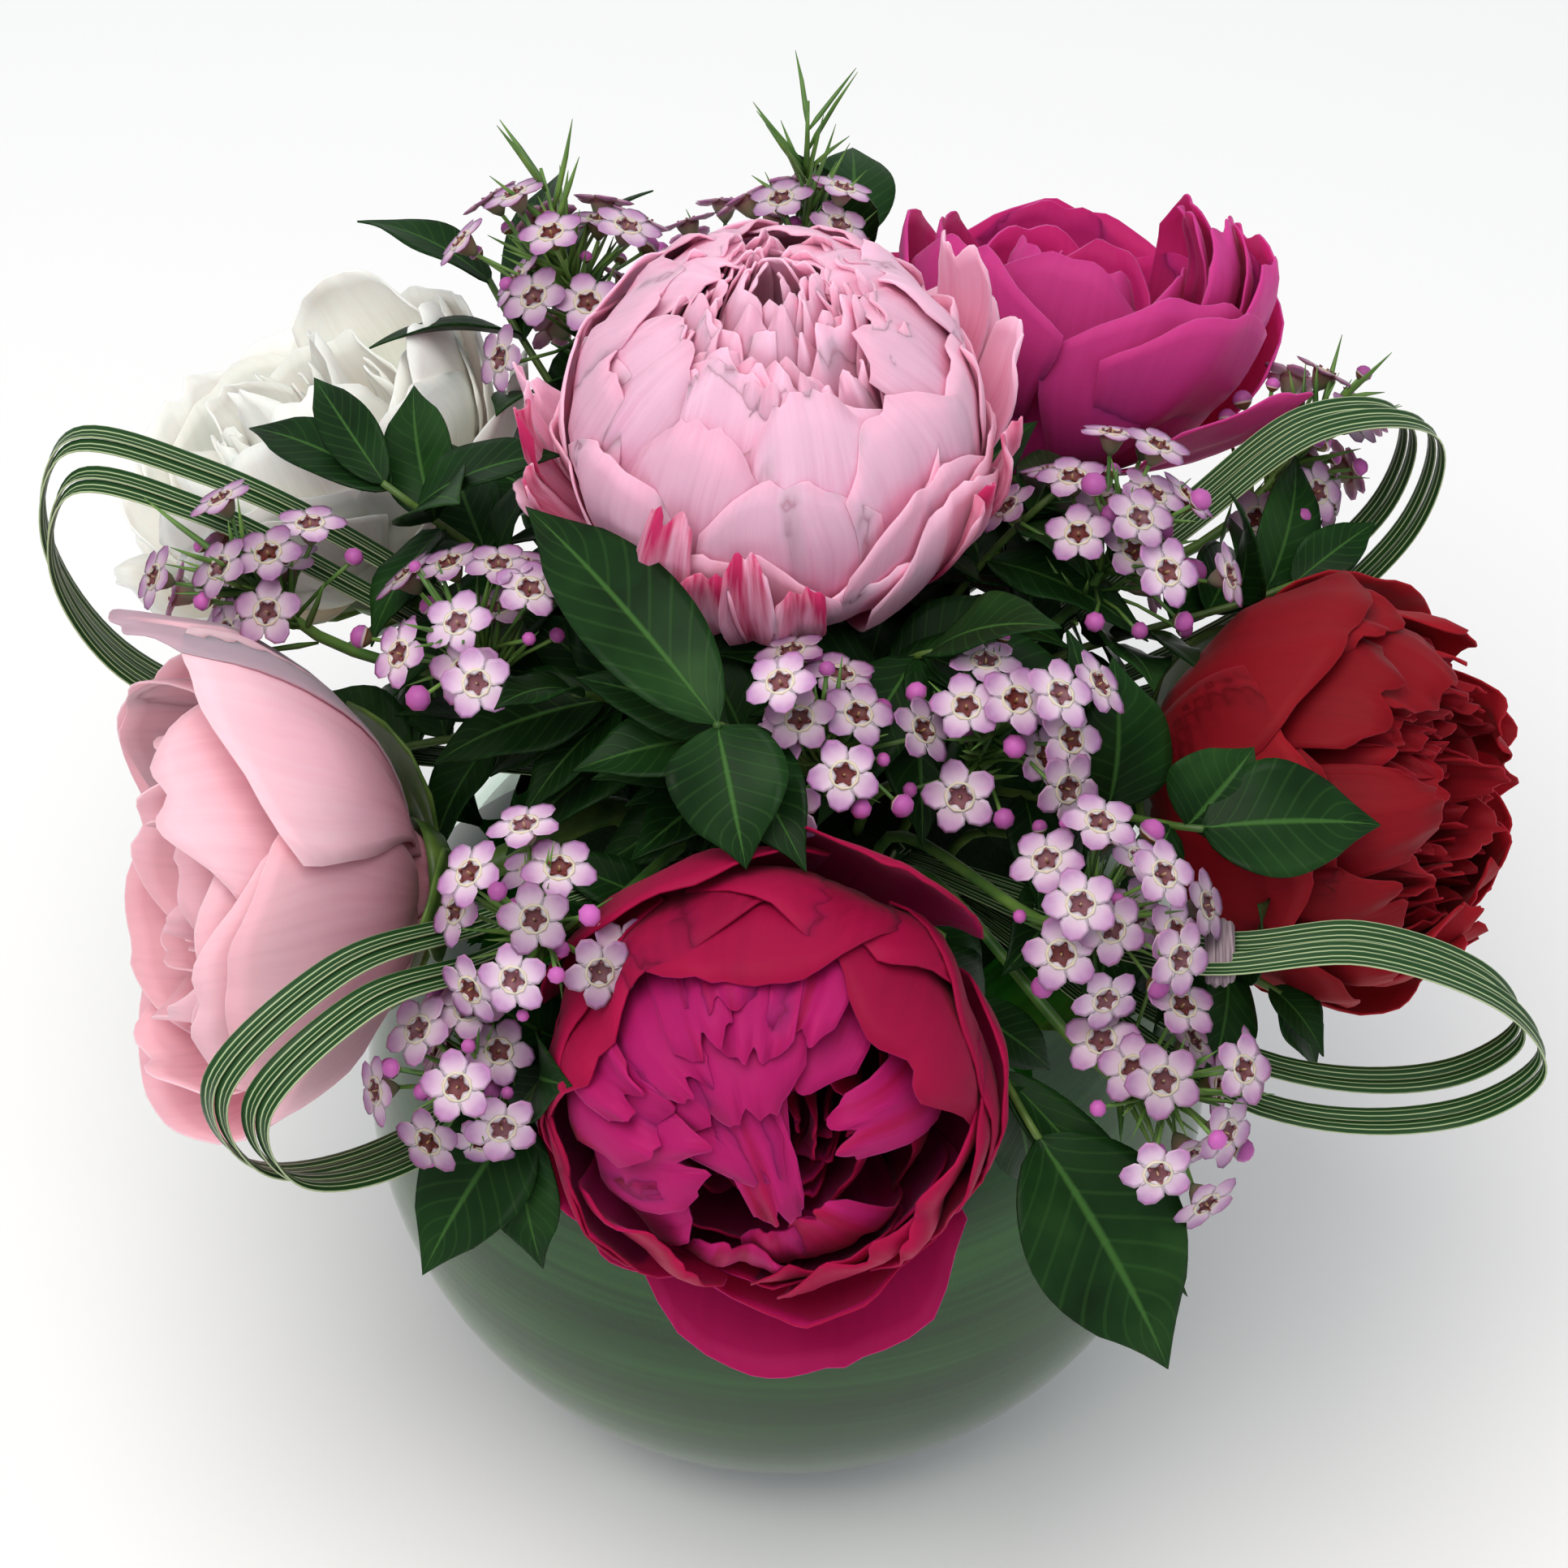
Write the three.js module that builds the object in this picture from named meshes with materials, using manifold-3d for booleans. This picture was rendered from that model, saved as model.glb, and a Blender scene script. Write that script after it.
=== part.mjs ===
// A round floral table centrepiece: six peonies, waxflower sprays, leafy stems and looped lily
// grass, stuck into soaked floral foam inside a glass bubble bowl that is lined with broad leaves.
// Millimetres, +Z up, origin at the centre of the bowl's flat foot. The front of the
// arrangement faces -Y, and +X is to its right.
import * as THREE from 'three';
import { mergeVertices } from 'three/addons/utils/BufferGeometryUtils.js';
import Module from 'manifold-3d';

const wasm = await Module();
wasm.setup();

// ---------------------------------------------------------------- driving dimensions

const toRadians = (degrees) => (degrees * Math.PI) / 180;

const BOWL = { radius: 100, wall: 3.2, footRadius: 50, mouthRadius: 63, lipRadius: 2.6, floor: 7 };
const BOWL_CENTRE_Z = Math.sqrt(BOWL.radius ** 2 - BOWL.footRadius ** 2);
const BOWL_SEGMENTS = 28;
const FILLING_SEGMENTS = BOWL_SEGMENTS / 2; // round the lining and the foam
const SPHERE_ROWS = 6; // rows of facets on the bowl's round wall, which the lining follows

const LINING = { gap: 0.7, thickness: 0.8, step: 1.7, rows: 5, coveredSegments: 8 };

const FOAM = { radius: 91.5, neckRadius: 55, bottomZ: 8, shoulderZ: 163, topZ: 185 };
const STEM_FOCUS = new THREE.Vector3(0, 0, 80); // every stem below the foam's top points here
const STEM_DEPTH = 30; // how far a stem is pushed into the foam
const BEND_STEPS = 4; // straight facets in the bend of a stem
const HOLE_CLEARANCE = 0.5;
const NEIGHBOUR_GAP = 0.35; // kept between a leaf, flower or blade and what is already in place

const GOLDEN_ANGLE = 137.508;

const PEONY_STEM_RADIUS = 3.2;
const TWIG_RADIUS = 1.3;
const LEAF_STEM_RADIUS = 1.2;
const GRASS_TIE_RADIUS = 2.4;

// Each peony: centre of its ball, the way its open face looks, and how its petals are laid.
// radius, close, half and flare run from the innermost petal to the outermost. close is the angle
// from the base to the tip round the ball, half is half the petal's width as an angle, flare is
// how far the tip leans out. guards are single outer petals: azimuth, radius, close, half, flare.
const PEONIES = [
  {
    name: 'peony_blush', colour: '#f0b4c6', centre: [-3, 9, 277], face: [0, -0.2, 0.98],
    petals: 14, semiHeight: 43, radius: [11, 43], close: [152, 132], half: [78, 46], flare: [0, 1],
    seed: 11, guards: [[38, 46, 98, 20, 10], [68, 46, 92, 14, 8], [192, 46, 84, 13, 10],
      [165, 46, 90, 11, 6], [325, 46, 108, 28, 2]],
  },
  {
    name: 'peony_fuchsia', colour: '#b0124f', centre: [-4, -111, 200], face: [-0.04, -0.9, 0.42],
    petals: 13, semiHeight: 42, radius: [11, 44], close: [128, 118], half: [70, 46], flare: [0, 2],
    seed: 23, guards: [[62, 48, 108, 24, 13], [278, 50, 92, 42, 17], [222, 47.5, 100, 34, 3],
      [120, 47.5, 104, 44, 4], [352, 47.5, 104, 36, 1]],
  },
  {
    name: 'peony_shell', colour: '#e79aa8', centre: [-127, -53, 199], face: [-0.93, -0.28, 0.22],
    petals: 10, semiHeight: 43, radius: [12, 42], close: [124, 108], half: [72, 56], flare: [0, 5],
    seed: 37, guards: [[95, 49, 106, 46, 11], [20, 48, 102, 48, 3], [270, 49, 104, 50, 9],
      [180, 48, 98, 46, 8], [330, 49, 88, 38, 5]],
  },
  {
    name: 'peony_crimson', colour: '#7c1020', centre: [125, -25, 200], face: [0.83, -0.4, 0.38],
    petals: 11, semiHeight: 41, radius: [10, 41], close: [132, 112], half: [70, 50], flare: [0, 3],
    seed: 41, guards: [[150, 45.5, 112, 44, 1], [90, 45, 114, 44, 2], [260, 45.5, 106, 42, 4],
      [205, 45, 108, 38, 3], [15, 45.5, 100, 36, 6]],
  },
  {
    name: 'peony_magenta', colour: '#bd2478', centre: [70, 103, 243], face: [0.22, 0.42, 0.88],
    petals: 11, semiHeight: 42, radius: [11, 42], close: [126, 106], half: [70, 50], flare: [0, 3],
    seed: 53, guards: [[340, 47, 80, 28, 15], [165, 47, 86, 22, 17], [240, 46.5, 104, 50, 2],
      [300, 46.5, 104, 40, 2]],
  },
  {
    name: 'peony_white', colour: '#f1efe6', centre: [-113, 75, 221], face: [-0.46, 0.2, 0.86],
    petals: 10, semiHeight: 39, radius: [11, 42], close: [124, 102], half: [70, 52], flare: [0, 7],
    seed: 61, guards: [[200, 47, 82, 42, 14], [260, 46.5, 86, 44, 12], [320, 47, 86, 40, 10],
      [100, 47, 88, 44, 11]],
  },
];

// Each waxflower spray: hub is where its flower stalks part, reach their length, cone how wide
// they fan out in degrees, tip the length of the leafy end beyond the hub.
const SPRAYS = [
  {
    name: 'waxflower_top_left', hub: [-48, 80, 255],
    reach: 25, cone: 62, flowers: 9, tip: 28, needles: 8, seed: 101,
  },
  {
    name: 'waxflower_top_back', hub: [4, 92, 256],
    reach: 18, cone: 58, flowers: 7, tip: 34, needles: 8, seed: 102,
  },
  {
    name: 'waxflower_left', hub: [-112, 10, 238],
    reach: 20, cone: 60, flowers: 8, tip: 14, needles: 5, seed: 103,
  },
  {
    name: 'waxflower_left_inner', hub: [-66, -26, 246],
    reach: 22, cone: 62, flowers: 7, tip: 8, needles: 3, seed: 104,
  },
  {
    name: 'waxflower_centre', hub: [8, -56, 244],
    reach: 21, cone: 60, flowers: 8, tip: 5, needles: 2, seed: 106,
  },
  {
    name: 'waxflower_centre_right', hub: [42, -48, 240],
    reach: 21, cone: 60, flowers: 8, tip: 5, needles: 2, seed: 107,
  },
  {
    name: 'waxflower_right_upper', hub: [70, 4, 244],
    reach: 23, cone: 64, flowers: 9, tip: 10, needles: 4, seed: 108,
  },
  {
    name: 'waxflower_right_far', hub: [122, 44, 218],
    reach: 24, cone: 64, flowers: 8, tip: 22, needles: 7, seed: 109,
  },
  {
    name: 'waxflower_front_left', hub: [-64, -82, 228],
    reach: 21, cone: 66, flowers: 8, tip: 4, needles: 2, seed: 110,
  },
  {
    name: 'waxflower_front_left_low', hub: [-70, -102, 200],
    reach: 19, cone: 66, flowers: 6, tip: 3, needles: 2, seed: 120,
  },
  {
    name: 'waxflower_front_right', hub: [62, -84, 224],
    reach: 21, cone: 66, flowers: 8, tip: 4, needles: 3, seed: 111,
  },
  {
    name: 'waxflower_front_right_low', hub: [76, -104, 194],
    reach: 22, cone: 70, flowers: 8, tip: 5, needles: 4, seed: 121,
  },
  {
    name: 'waxflower_back', hub: [-14, 128, 214],
    reach: 24, cone: 66, flowers: 6, tip: 10, needles: 3, seed: 112,
  },
];
const STALK_SPREAD = 9; // the length of twig that the flower stalks leave from

// Each leafy stem: end is where it ends. blades are the leaves that stand out: the share of the way
// along the stem that it leaves from, where its tip is, its width. fill is how many smaller leaves
// come alternately off the stem besides.
const FILL_LEAF = { length: 42, width: 22 };
const LEAFY_STEMS = [
  { name: 'leaves_front_right', end: [33, -118, 187], fill: 2, seed: 201,
    blades: [[1, [79, -139, 145], 37], [0.8, [84, -124, 150], 15]] },
  { name: 'leaves_right_front', end: [74, -76, 228], fill: 1, seed: 202,
    blades: [[1, [123, -60, 227], 27], [0.95, [96, -52, 240], 25], [0.72, [70, -40, 252], 28]] },
  { name: 'leaves_centre', end: [-14, -66, 260], fill: 3, seed: 209,
    blades: [[1, [-12, -90, 242], 26], [0.97, [-55, -8, 268], 25]] },
  { name: 'leaves_left_back', end: [-86, 12, 256], fill: 2, seed: 208,
    blades: [[1, [-104, 43, 262], 13], [0.97, [-119, 40, 250], 15], [0.9, [-47, 6, 270], 20]] },
  { name: 'leaves_back_left', end: [-58, 96, 250], fill: 3, seed: 207,
    blades: [[1, [-98, 109, 258], 15], [0.9, [-33, 121, 262], 17], [0.85, [-56, 138, 250], 15]] },
  { name: 'leaves_front_left', end: [-66, -100, 186], fill: 3, seed: 210,
    blades: [[0.95, [-84, -108, 158], 26], [1, [-50, -124, 160], 18]] },
  { name: 'leaves_right_low', end: [108, -60, 180], fill: 2, seed: 203,
    blades: [[1, [108, -77, 165], 14], [0.97, [131, -79, 169], 22]] },
  { name: 'leaves_right_inner', end: [56, 20, 252], fill: 2, seed: 205,
    blades: [[1, [50, 26, 278], 17], [0.95, [98, 38, 256], 20], [0.85, [84, -14, 252], 24]] },
  { name: 'leaves_right_back', end: [112, 20, 220], fill: 4, seed: 204,
    blades: [[1, [133, 28, 230], 13]] },
  { name: 'leaves_centre_right', end: [30, -30, 246], fill: 5, seed: 214, blades: [] },
  { name: 'leaves_centre_left', end: [-44, -38, 242], fill: 5, seed: 215, blades: [] },
  { name: 'leaves_inner_left', end: [-40, 24, 228], fill: 5, seed: 216, blades: [] },
  { name: 'leaves_inner_right', end: [32, 22, 230], fill: 5, seed: 217, blades: [] },
  { name: 'leaves_back_right', end: [30, 134, 226], fill: 5, seed: 206, blades: [] },
  { name: 'leaves_left_low', end: [-118, 16, 176], fill: 4, seed: 211, blades: [] },
  { name: 'leaves_back_low', end: [84, 126, 172], fill: 4, seed: 212, blades: [] },
  { name: 'leaves_back_left_low', end: [-66, 128, 172], fill: 4, seed: 213, blades: [] },
];

// Lily grass: two blades bent into a loop with both ends in the foam. outward is the level way
// that the loop reaches, and via are the points that its first blade passes through.
const GRASS_BLADE = { width: 7.6, thickness: 1.2, spacing: 8.4, inset: 0.12 };
const GRASS_STEPS = 10;
const GRASS_LOOPS = [
  {
    name: 'lily_grass_front_left', outward: [-0.75, -0.66],
    via: [[-60, -78, 212], [-86, -108, 230], [-108, -128, 219], [-103, -124, 190], [-76, -100, 171]],
  },
  {
    name: 'lily_grass_front_right', outward: [1, -0.05],
    via: [[82, -84, 214], [116, -86, 219], [147, -87, 204], [155, -88, 188], [140, -88, 173],
      [100, -85, 172]],
  },
  {
    name: 'lily_grass_back_left', outward: [-1, 0.12],
    via: [[-86, 14, 226], [-126, 18, 250], [-154, 21, 256], [-163, 22, 230], [-150, 21, 195],
      [-112, 16, 176]],
  },
  {
    name: 'lily_grass_back_right', outward: [1, 0.3],
    via: [[86, 34, 226], [116, 44, 247], [141, 52, 240], [139, 52, 212], [108, 42, 184]],
  },
];

// ---------------------------------------------------------------- small tools

const toVector = (list) => new THREE.Vector3(...list);
const mix = ([from, to], share) => from + (to - from) * share;
const UP = new THREE.Vector3(0, 0, 1);

// A repeatable stream of numbers from 0 to 1.
function seededDraw(seed) {
  let state = seed >>> 0;
  return () => {
    state = (Math.imul(state, 1664525) + 1013904223) >>> 0;
    return state / 4294967296;
  };
}

// Two directions square to w: the first is level, the second is as near to up as it can be.
function frameAbout(w) {
  const level = new THREE.Vector3(-w.y, w.x, 0);
  if (level.lengthSq() < 1e-6) level.set(1, 0, 0);
  level.normalize();
  const rise = new THREE.Vector3().crossVectors(w, level).normalize();
  return [level, rise];
}

// A direction tilted from axis by an angle, at an azimuth round it.
function tilted(axis, tilt, azimuth) {
  const [level, rise] = frameAbout(axis);
  return axis.clone().multiplyScalar(Math.cos(tilt))
    .addScaledVector(level, Math.sin(tilt) * Math.cos(azimuth))
    .addScaledVector(rise, Math.sin(tilt) * Math.sin(azimuth));
}

// A closed three.js geometry as a solid, turned right side out if it isn't.
function solidOf(geometry) {
  const bare = geometry.index ? geometry.toNonIndexed() : geometry.clone();
  bare.deleteAttribute('normal');
  bare.deleteAttribute('uv');
  const merged = mergeVertices(bare, 1e-3);
  const triVerts = new Uint32Array(merged.index.array);
  const build = () => new wasm.Manifold(new wasm.Mesh({
    numProp: 3, vertProperties: merged.attributes.position.array, triVerts,
  }));
  const solid = build();
  if (solid.volume() > 0) return solid;
  for (let i = 0; i < triVerts.length; i += 3) {
    [triVerts[i + 1], triVerts[i + 2]] = [triVerts[i + 2], triVerts[i + 1]];
  }
  return build();
}

// A solid as a three.js geometry.
function geometryOf(solid) {
  const mesh = solid.getMesh();
  const positions = new Float32Array(mesh.numVert * 3);
  for (let i = 0; i < mesh.numVert; i += 1) {
    positions.set(mesh.vertProperties.subarray(i * mesh.numProp, i * mesh.numProp + 3), i * 3);
  }
  const geometry = new THREE.BufferGeometry();
  geometry.setAttribute('position', new THREE.BufferAttribute(positions, 3));
  geometry.setIndex(new THREE.BufferAttribute(mesh.triVerts, 1));
  geometry.computeVertexNormals();
  return geometry;
}

// A geometry from points and faces given as lists of corner numbers.
function geometryFrom(points, faces) {
  const corners = [];
  for (const face of faces) {
    for (let k = 1; k < face.length - 1; k += 1) {
      corners.push(points[face[0]], points[face[k]], points[face[k + 1]]);
    }
  }
  return new THREE.BufferGeometry().setFromPoints(corners);
}

// The solids as one body: a loose scrap that a joint leaves is dropped.
function joined(solids) {
  const bodies = solids.reduce((whole, piece) => whole.add(piece)).decompose();
  return bodies.reduce((best, body) => (body.volume() > best.volume() ? body : best));
}

// A closed skin over rings of four points each, from one end point or face to the other.
function skinOverRings(rings, start, end) {
  const points = [...rings.flat()];
  const faces = [];
  const last = 4 * (rings.length - 1);
  for (let k = 0; k < 4; k += 1) {
    const next = (k + 1) % 4;
    for (let base = 0; base < last; base += 4) {
      faces.push([base + k, base + 4 + k, base + 4 + next, base + next]);
    }
    if (start) faces.push([points.length, k, next]);
    if (end) faces.push([points.length + (start ? 1 : 0), last + next, last + k]);
  }
  if (!start) faces.push([0, 1, 2, 3]);
  if (!end) faces.push([last + 3, last + 2, last + 1, last]);
  if (start) points.push(start);
  if (end) points.push(end);
  return geometryFrom(points, faces);
}

// A path that an extrusion steps along from each of the given points to the next.
class Route extends THREE.Curve {
  constructor(points) {
    super();
    this.points = points;
  }

  getPointAt(share) {
    return this.points[Math.round(share * (this.points.length - 1))].clone();
  }

  getTangentAt(share) {
    const k = Math.round(share * (this.points.length - 1));
    const before = this.points[Math.max(k - 1, 0)];
    const after = this.points[Math.min(k + 1, this.points.length - 1)];
    return new THREE.Vector3().subVectors(after, before).normalize();
  }
}

// A stem through the given points, with a regular section of few sides.
function stemAlong(points, radius, sides) {
  const outline = new THREE.Shape(Array.from({ length: sides }, (_, i) => new THREE.Vector2(
    radius * Math.cos((2 * Math.PI * i) / sides),
    radius * Math.sin((2 * Math.PI * i) / sides),
  )));
  const steps = points.length - 1;
  const extrudePath = new Route(points);
  return new THREE.ExtrudeGeometry(outline, { steps, extrudePath, bevelEnabled: false });
}

// Where a stem that leads to a point leaves the foam, which way it heads there, and its cut end.
function footing(target) {
  const reach = Math.hypot(target.x, target.y);
  const radius = (50 * reach) / (reach + 0.8 * Math.max(target.z - 150, 5));
  const dome = Math.sqrt(1 - (radius / FOAM.neckRadius) ** 2);
  const entry = new THREE.Vector3(
    (target.x * radius) / reach,
    (target.y * radius) / reach,
    FOAM.shoulderZ + (FOAM.topZ - FOAM.shoulderZ) * dome,
  );
  const heading = new THREE.Vector3().subVectors(entry, STEM_FOCUS).normalize();
  return { entry, heading, end: entry.clone().addScaledVector(heading, -STEM_DEPTH) };
}

// The points a stem goes through: its cut end, straight up to just clear of the foam, and on
// round a bend to its far end.
function stemRoute(foot, target, arrival) {
  const start = foot.entry.clone().addScaledVector(foot.heading, 5);
  const slack = target.distanceTo(start) / 3;
  const bend = new THREE.CubicBezierCurve3(
    start,
    start.clone().addScaledVector(foot.heading, slack),
    target.clone().addScaledVector(arrival, -slack),
    target,
  );
  return [foot.end, ...bend.getPoints(BEND_STEPS)];
}

// A place on the bend of a stem and the way the stem heads there.
function onBend(route, share) {
  const reach = Math.min(share, 0.99) * BEND_STEPS;
  const k = Math.floor(reach) + 1;
  return {
    point: route[k].clone().lerp(route[k + 1], reach - k + 1),
    heading: new THREE.Vector3().subVectors(route[k + 1], route[k]).normalize(),
  };
}

// ---------------------------------------------------------------- the bowl and what is in it

// The angles from straight up at which the inner wall's facet rows lie.
const MOUTH_ANGLE = Math.asin((BOWL.mouthRadius - BOWL.wall) / (BOWL.radius - BOWL.wall));
const FLOOR_ANGLE = Math.PI - Math.acos((BOWL_CENTRE_Z - BOWL.floor) / (BOWL.radius - BOWL.wall));
const rowAngle = (row) => MOUTH_ANGLE + ((FLOOR_ANGLE - MOUTH_ANGLE) * row) / SPHERE_ROWS;

const profilePoint = (radius, angle) => new THREE.Vector2(
  radius * Math.sin(angle),
  BOWL_CENTRE_Z + radius * Math.cos(angle),
);

const turned = (profile, segments) => (
  solidOf(new THREE.LatheGeometry(profile, segments).rotateX(Math.PI / 2))
);

// Blown clear glass: a flat ground foot, a round body and a fire-rounded lip.
function bowl() {
  const footAngle = Math.PI - Math.asin(BOWL.footRadius / BOWL.radius);
  const neckAngle = Math.asin(BOWL.mouthRadius / BOWL.radius);
  const profile = [new THREE.Vector2(0, 0), new THREE.Vector2(BOWL.footRadius - 1.5, 0)];
  for (let row = 0; row <= SPHERE_ROWS; row += 1) {
    const point = profilePoint(BOWL.radius, footAngle + ((neckAngle - footAngle) * row) / SPHERE_ROWS);
    profile.push(row === 0 ? new THREE.Vector2(point.x, 1.2) : point);
  }
  const lipCentre = profilePoint(BOWL.radius - BOWL.wall / 2, neckAngle - 0.015);
  for (const turn of [-10, 100]) {
    profile.push(new THREE.Vector2(
      lipCentre.x + BOWL.lipRadius * Math.cos(toRadians(turn)),
      lipCentre.y + BOWL.lipRadius * Math.sin(toRadians(turn)),
    ));
  }
  for (let row = 0; row <= SPHERE_ROWS; row += 1) {
    profile.push(profilePoint(BOWL.radius - BOWL.wall, rowAngle(row)));
  }
  profile.push(new THREE.Vector2(0, BOWL.floor));
  return turned(profile, BOWL_SEGMENTS);
}

// A broad leaf laid round the inside of the glass, from just under the mouth to near the floor.
function liningLeaf(firstSegment, radius) {
  const columns = LINING.coveredSegments;
  const rows = LINING.rows;
  const point = (i, j, reach) => {
    const turn = (2 * Math.PI * (firstSegment + i)) / FILLING_SEGMENTS;
    const ring = profilePoint(reach, rowAngle(j));
    return new THREE.Vector3(ring.x * Math.sin(turn), ring.x * Math.cos(turn), ring.y);
  };
  const points = [];
  for (const reach of [radius, radius - LINING.thickness]) {
    for (let j = 0; j <= rows; j += 1) {
      for (let i = 0; i <= columns; i += 1) points.push(point(i, j, reach));
    }
  }
  const outer = (i, j) => j * (columns + 1) + i;
  const inner = (i, j) => (rows + 1) * (columns + 1) + outer(i, j);
  const faces = [];
  for (let j = 0; j < rows; j += 1) {
    for (let i = 0; i < columns; i += 1) {
      faces.push([outer(i, j), outer(i, j + 1), outer(i + 1, j + 1), outer(i + 1, j)]);
      faces.push([inner(i, j), inner(i + 1, j), inner(i + 1, j + 1), inner(i, j + 1)]);
    }
    faces.push([outer(0, j), inner(0, j), inner(0, j + 1), outer(0, j + 1)]);
    faces.push([outer(columns, j), outer(columns, j + 1), inner(columns, j + 1), inner(columns, j)]);
  }
  for (let i = 0; i < columns; i += 1) {
    faces.push([outer(i, 0), outer(i + 1, 0), inner(i + 1, 0), inner(i, 0)]);
    faces.push([outer(i, rows), inner(i, rows), inner(i + 1, rows), outer(i + 1, rows)]);
  }
  return solidOf(geometryFrom(points, faces));
}

// The hole that one stem makes in the foam.
function stemHole({ entry, heading, radius, sides }) {
  const width = (radius + HOLE_CLEARANCE) / Math.cos(Math.PI / sides);
  const above = 12;
  const length = STEM_DEPTH + 2 + above;
  const geometry = new THREE.CylinderGeometry(width, width, length, sides, 1);
  const turn = new THREE.Quaternion().setFromUnitVectors(new THREE.Vector3(0, 1, 0), heading);
  geometry.applyQuaternion(turn);
  const middle = entry.clone().addScaledVector(heading, above - length / 2);
  return solidOf(geometry.translate(middle.x, middle.y, middle.z));
}

// A ball of soaked foam that fills the lining and stands a little proud of the mouth.
function foam(stems) {
  const profile = [new THREE.Vector2(0, FOAM.bottomZ)];
  for (const angle of [145, 122, 98, 74, 50]) {
    profile.push(profilePoint(FOAM.radius, toRadians(angle)));
  }
  for (const share of [1, 0.66]) {
    profile.push(new THREE.Vector2(
      FOAM.neckRadius * share,
      FOAM.shoulderZ + (FOAM.topZ - FOAM.shoulderZ) * Math.sqrt(1 - share ** 2),
    ));
  }
  profile.push(new THREE.Vector2(0, FOAM.topZ));
  const block = turned(profile, FILLING_SEGMENTS);
  return stems.reduce((left, stem) => left.subtract(stemHole(stem)), block).decompose()[0];
}

// ---------------------------------------------------------------- peonies

const PETAL = { halfThickness: 0.6, widestAt: 0.72, rootSpread: 0.3, rowPitch: toRadians(40) };
const PETAL_ROWS = [1, 3, 5, 5]; // points in each row, root first
const CORE = { radius: 15, semiHeight: 12 };
const OUTER_DROP = 5; // how much lower the outermost petals are set on the core

// A point of a petal: a runs from -1 to 1 across it. polar is the angle from the flower's base,
// the same for a whole row, so that nested petals have parallel facets. The last row is the rim,
// which is rounded off at its ends and notched in the middle.
function petalPoint(petal, a, row, rows) {
  const isRim = row === rows - 1;
  const evenly = (petal.close * row) / (rows - 1);
  const polar = isRim
    ? petal.close * (1 - petal.round * Math.abs(a) ** 2.2 - petal.notch * Math.exp(-((a / 0.22) ** 2)))
    : Math.min(evenly, (PETAL.rowPitch * row * 3) / (rows - 1));
  const along = polar / petal.close;
  const spread = along < PETAL.widestAt
    ? PETAL.rootSpread + (1 - PETAL.rootSpread) * Math.sin((along / PETAL.widestAt) * (Math.PI / 2))
    : 1 - 0.3 * ((along - PETAL.widestAt) / (1 - PETAL.widestAt)) ** 2;
  const azimuth = petal.azimuth + petal.half * spread * a;
  const ruffle = petal.ruffle * Math.sin(petal.waves * a + petal.phase) * along ** 2;
  const reach = petal.radius * Math.sin(polar) + petal.flare * along ** 3 + ruffle;
  return new THREE.Vector3(
    reach * Math.cos(azimuth),
    reach * Math.sin(azimuth),
    petal.semiHeight * (1 - Math.cos(polar)) - petal.drop,
  );
}

// A petal as a blade that is thickest in the middle and closes to a thin edge all round. Its
// rows widen from the root, and both sides are split into the same triangles.
function petalBlade(petal, rows) {
  const middles = rows.map((count, j) => Array.from({ length: count }, (_, i) => (
    petalPoint(petal, count === 1 ? 0 : (2 * i) / (count - 1) - 1, j, rows.length)
  )));
  const points = [];
  const sides = [[], []];
  middles.forEach((row, j) => {
    const [fronts, backs] = [[], []];
    row.forEach((middle, i) => {
      const onEdge = i === 0 || i === row.length - 1 || j === rows.length - 1;
      fronts.push(points.length);
      if (onEdge) {
        points.push(middle);
      } else {
        const above = middles[j + 1][(middles[j + 1].length - 1) / 2];
        const along = new THREE.Vector3().subVectors(above, middle);
        const across = new THREE.Vector3().subVectors(row[i + 1], row[i - 1]);
        const lift = new THREE.Vector3().crossVectors(across, along).setLength(PETAL.halfThickness);
        points.push(middle.clone().add(lift), middle.clone().sub(lift));
      }
      backs.push(points.length - 1);
    });
    sides[0].push(fronts);
    sides[1].push(backs);
  });
  const faces = sides.flatMap((side, k) => {
    const triangles = side.slice(1).flatMap((row, j) => trianglesBetween(side[j], row));
    return k === 0 ? triangles : triangles.map(([a, b, c]) => [a, c, b]);
  });
  return geometryFrom(points, faces);
}

// The triangles between a row of points and the next one, which may have twice its cells.
function trianglesBetween(row, next) {
  if (row.length === 1) {
    return next.slice(1).map((corner, i) => [row[0], next[i], corner]);
  }
  return row.slice(1).flatMap((corner, i) => {
    if (row.length === next.length) {
      const leansLeft = i >= (row.length - 1) / 2;
      return leansLeft
        ? [[row[i], next[i], corner], [corner, next[i], next[i + 1]]]
        : [[row[i], next[i], next[i + 1]], [row[i], next[i + 1], corner]];
    }
    const [left, middle, right] = next.slice(2 * i, 2 * i + 3);
    return [[row[i], left, middle], [row[i], middle, corner], [corner, middle, right]];
  });
}

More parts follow.
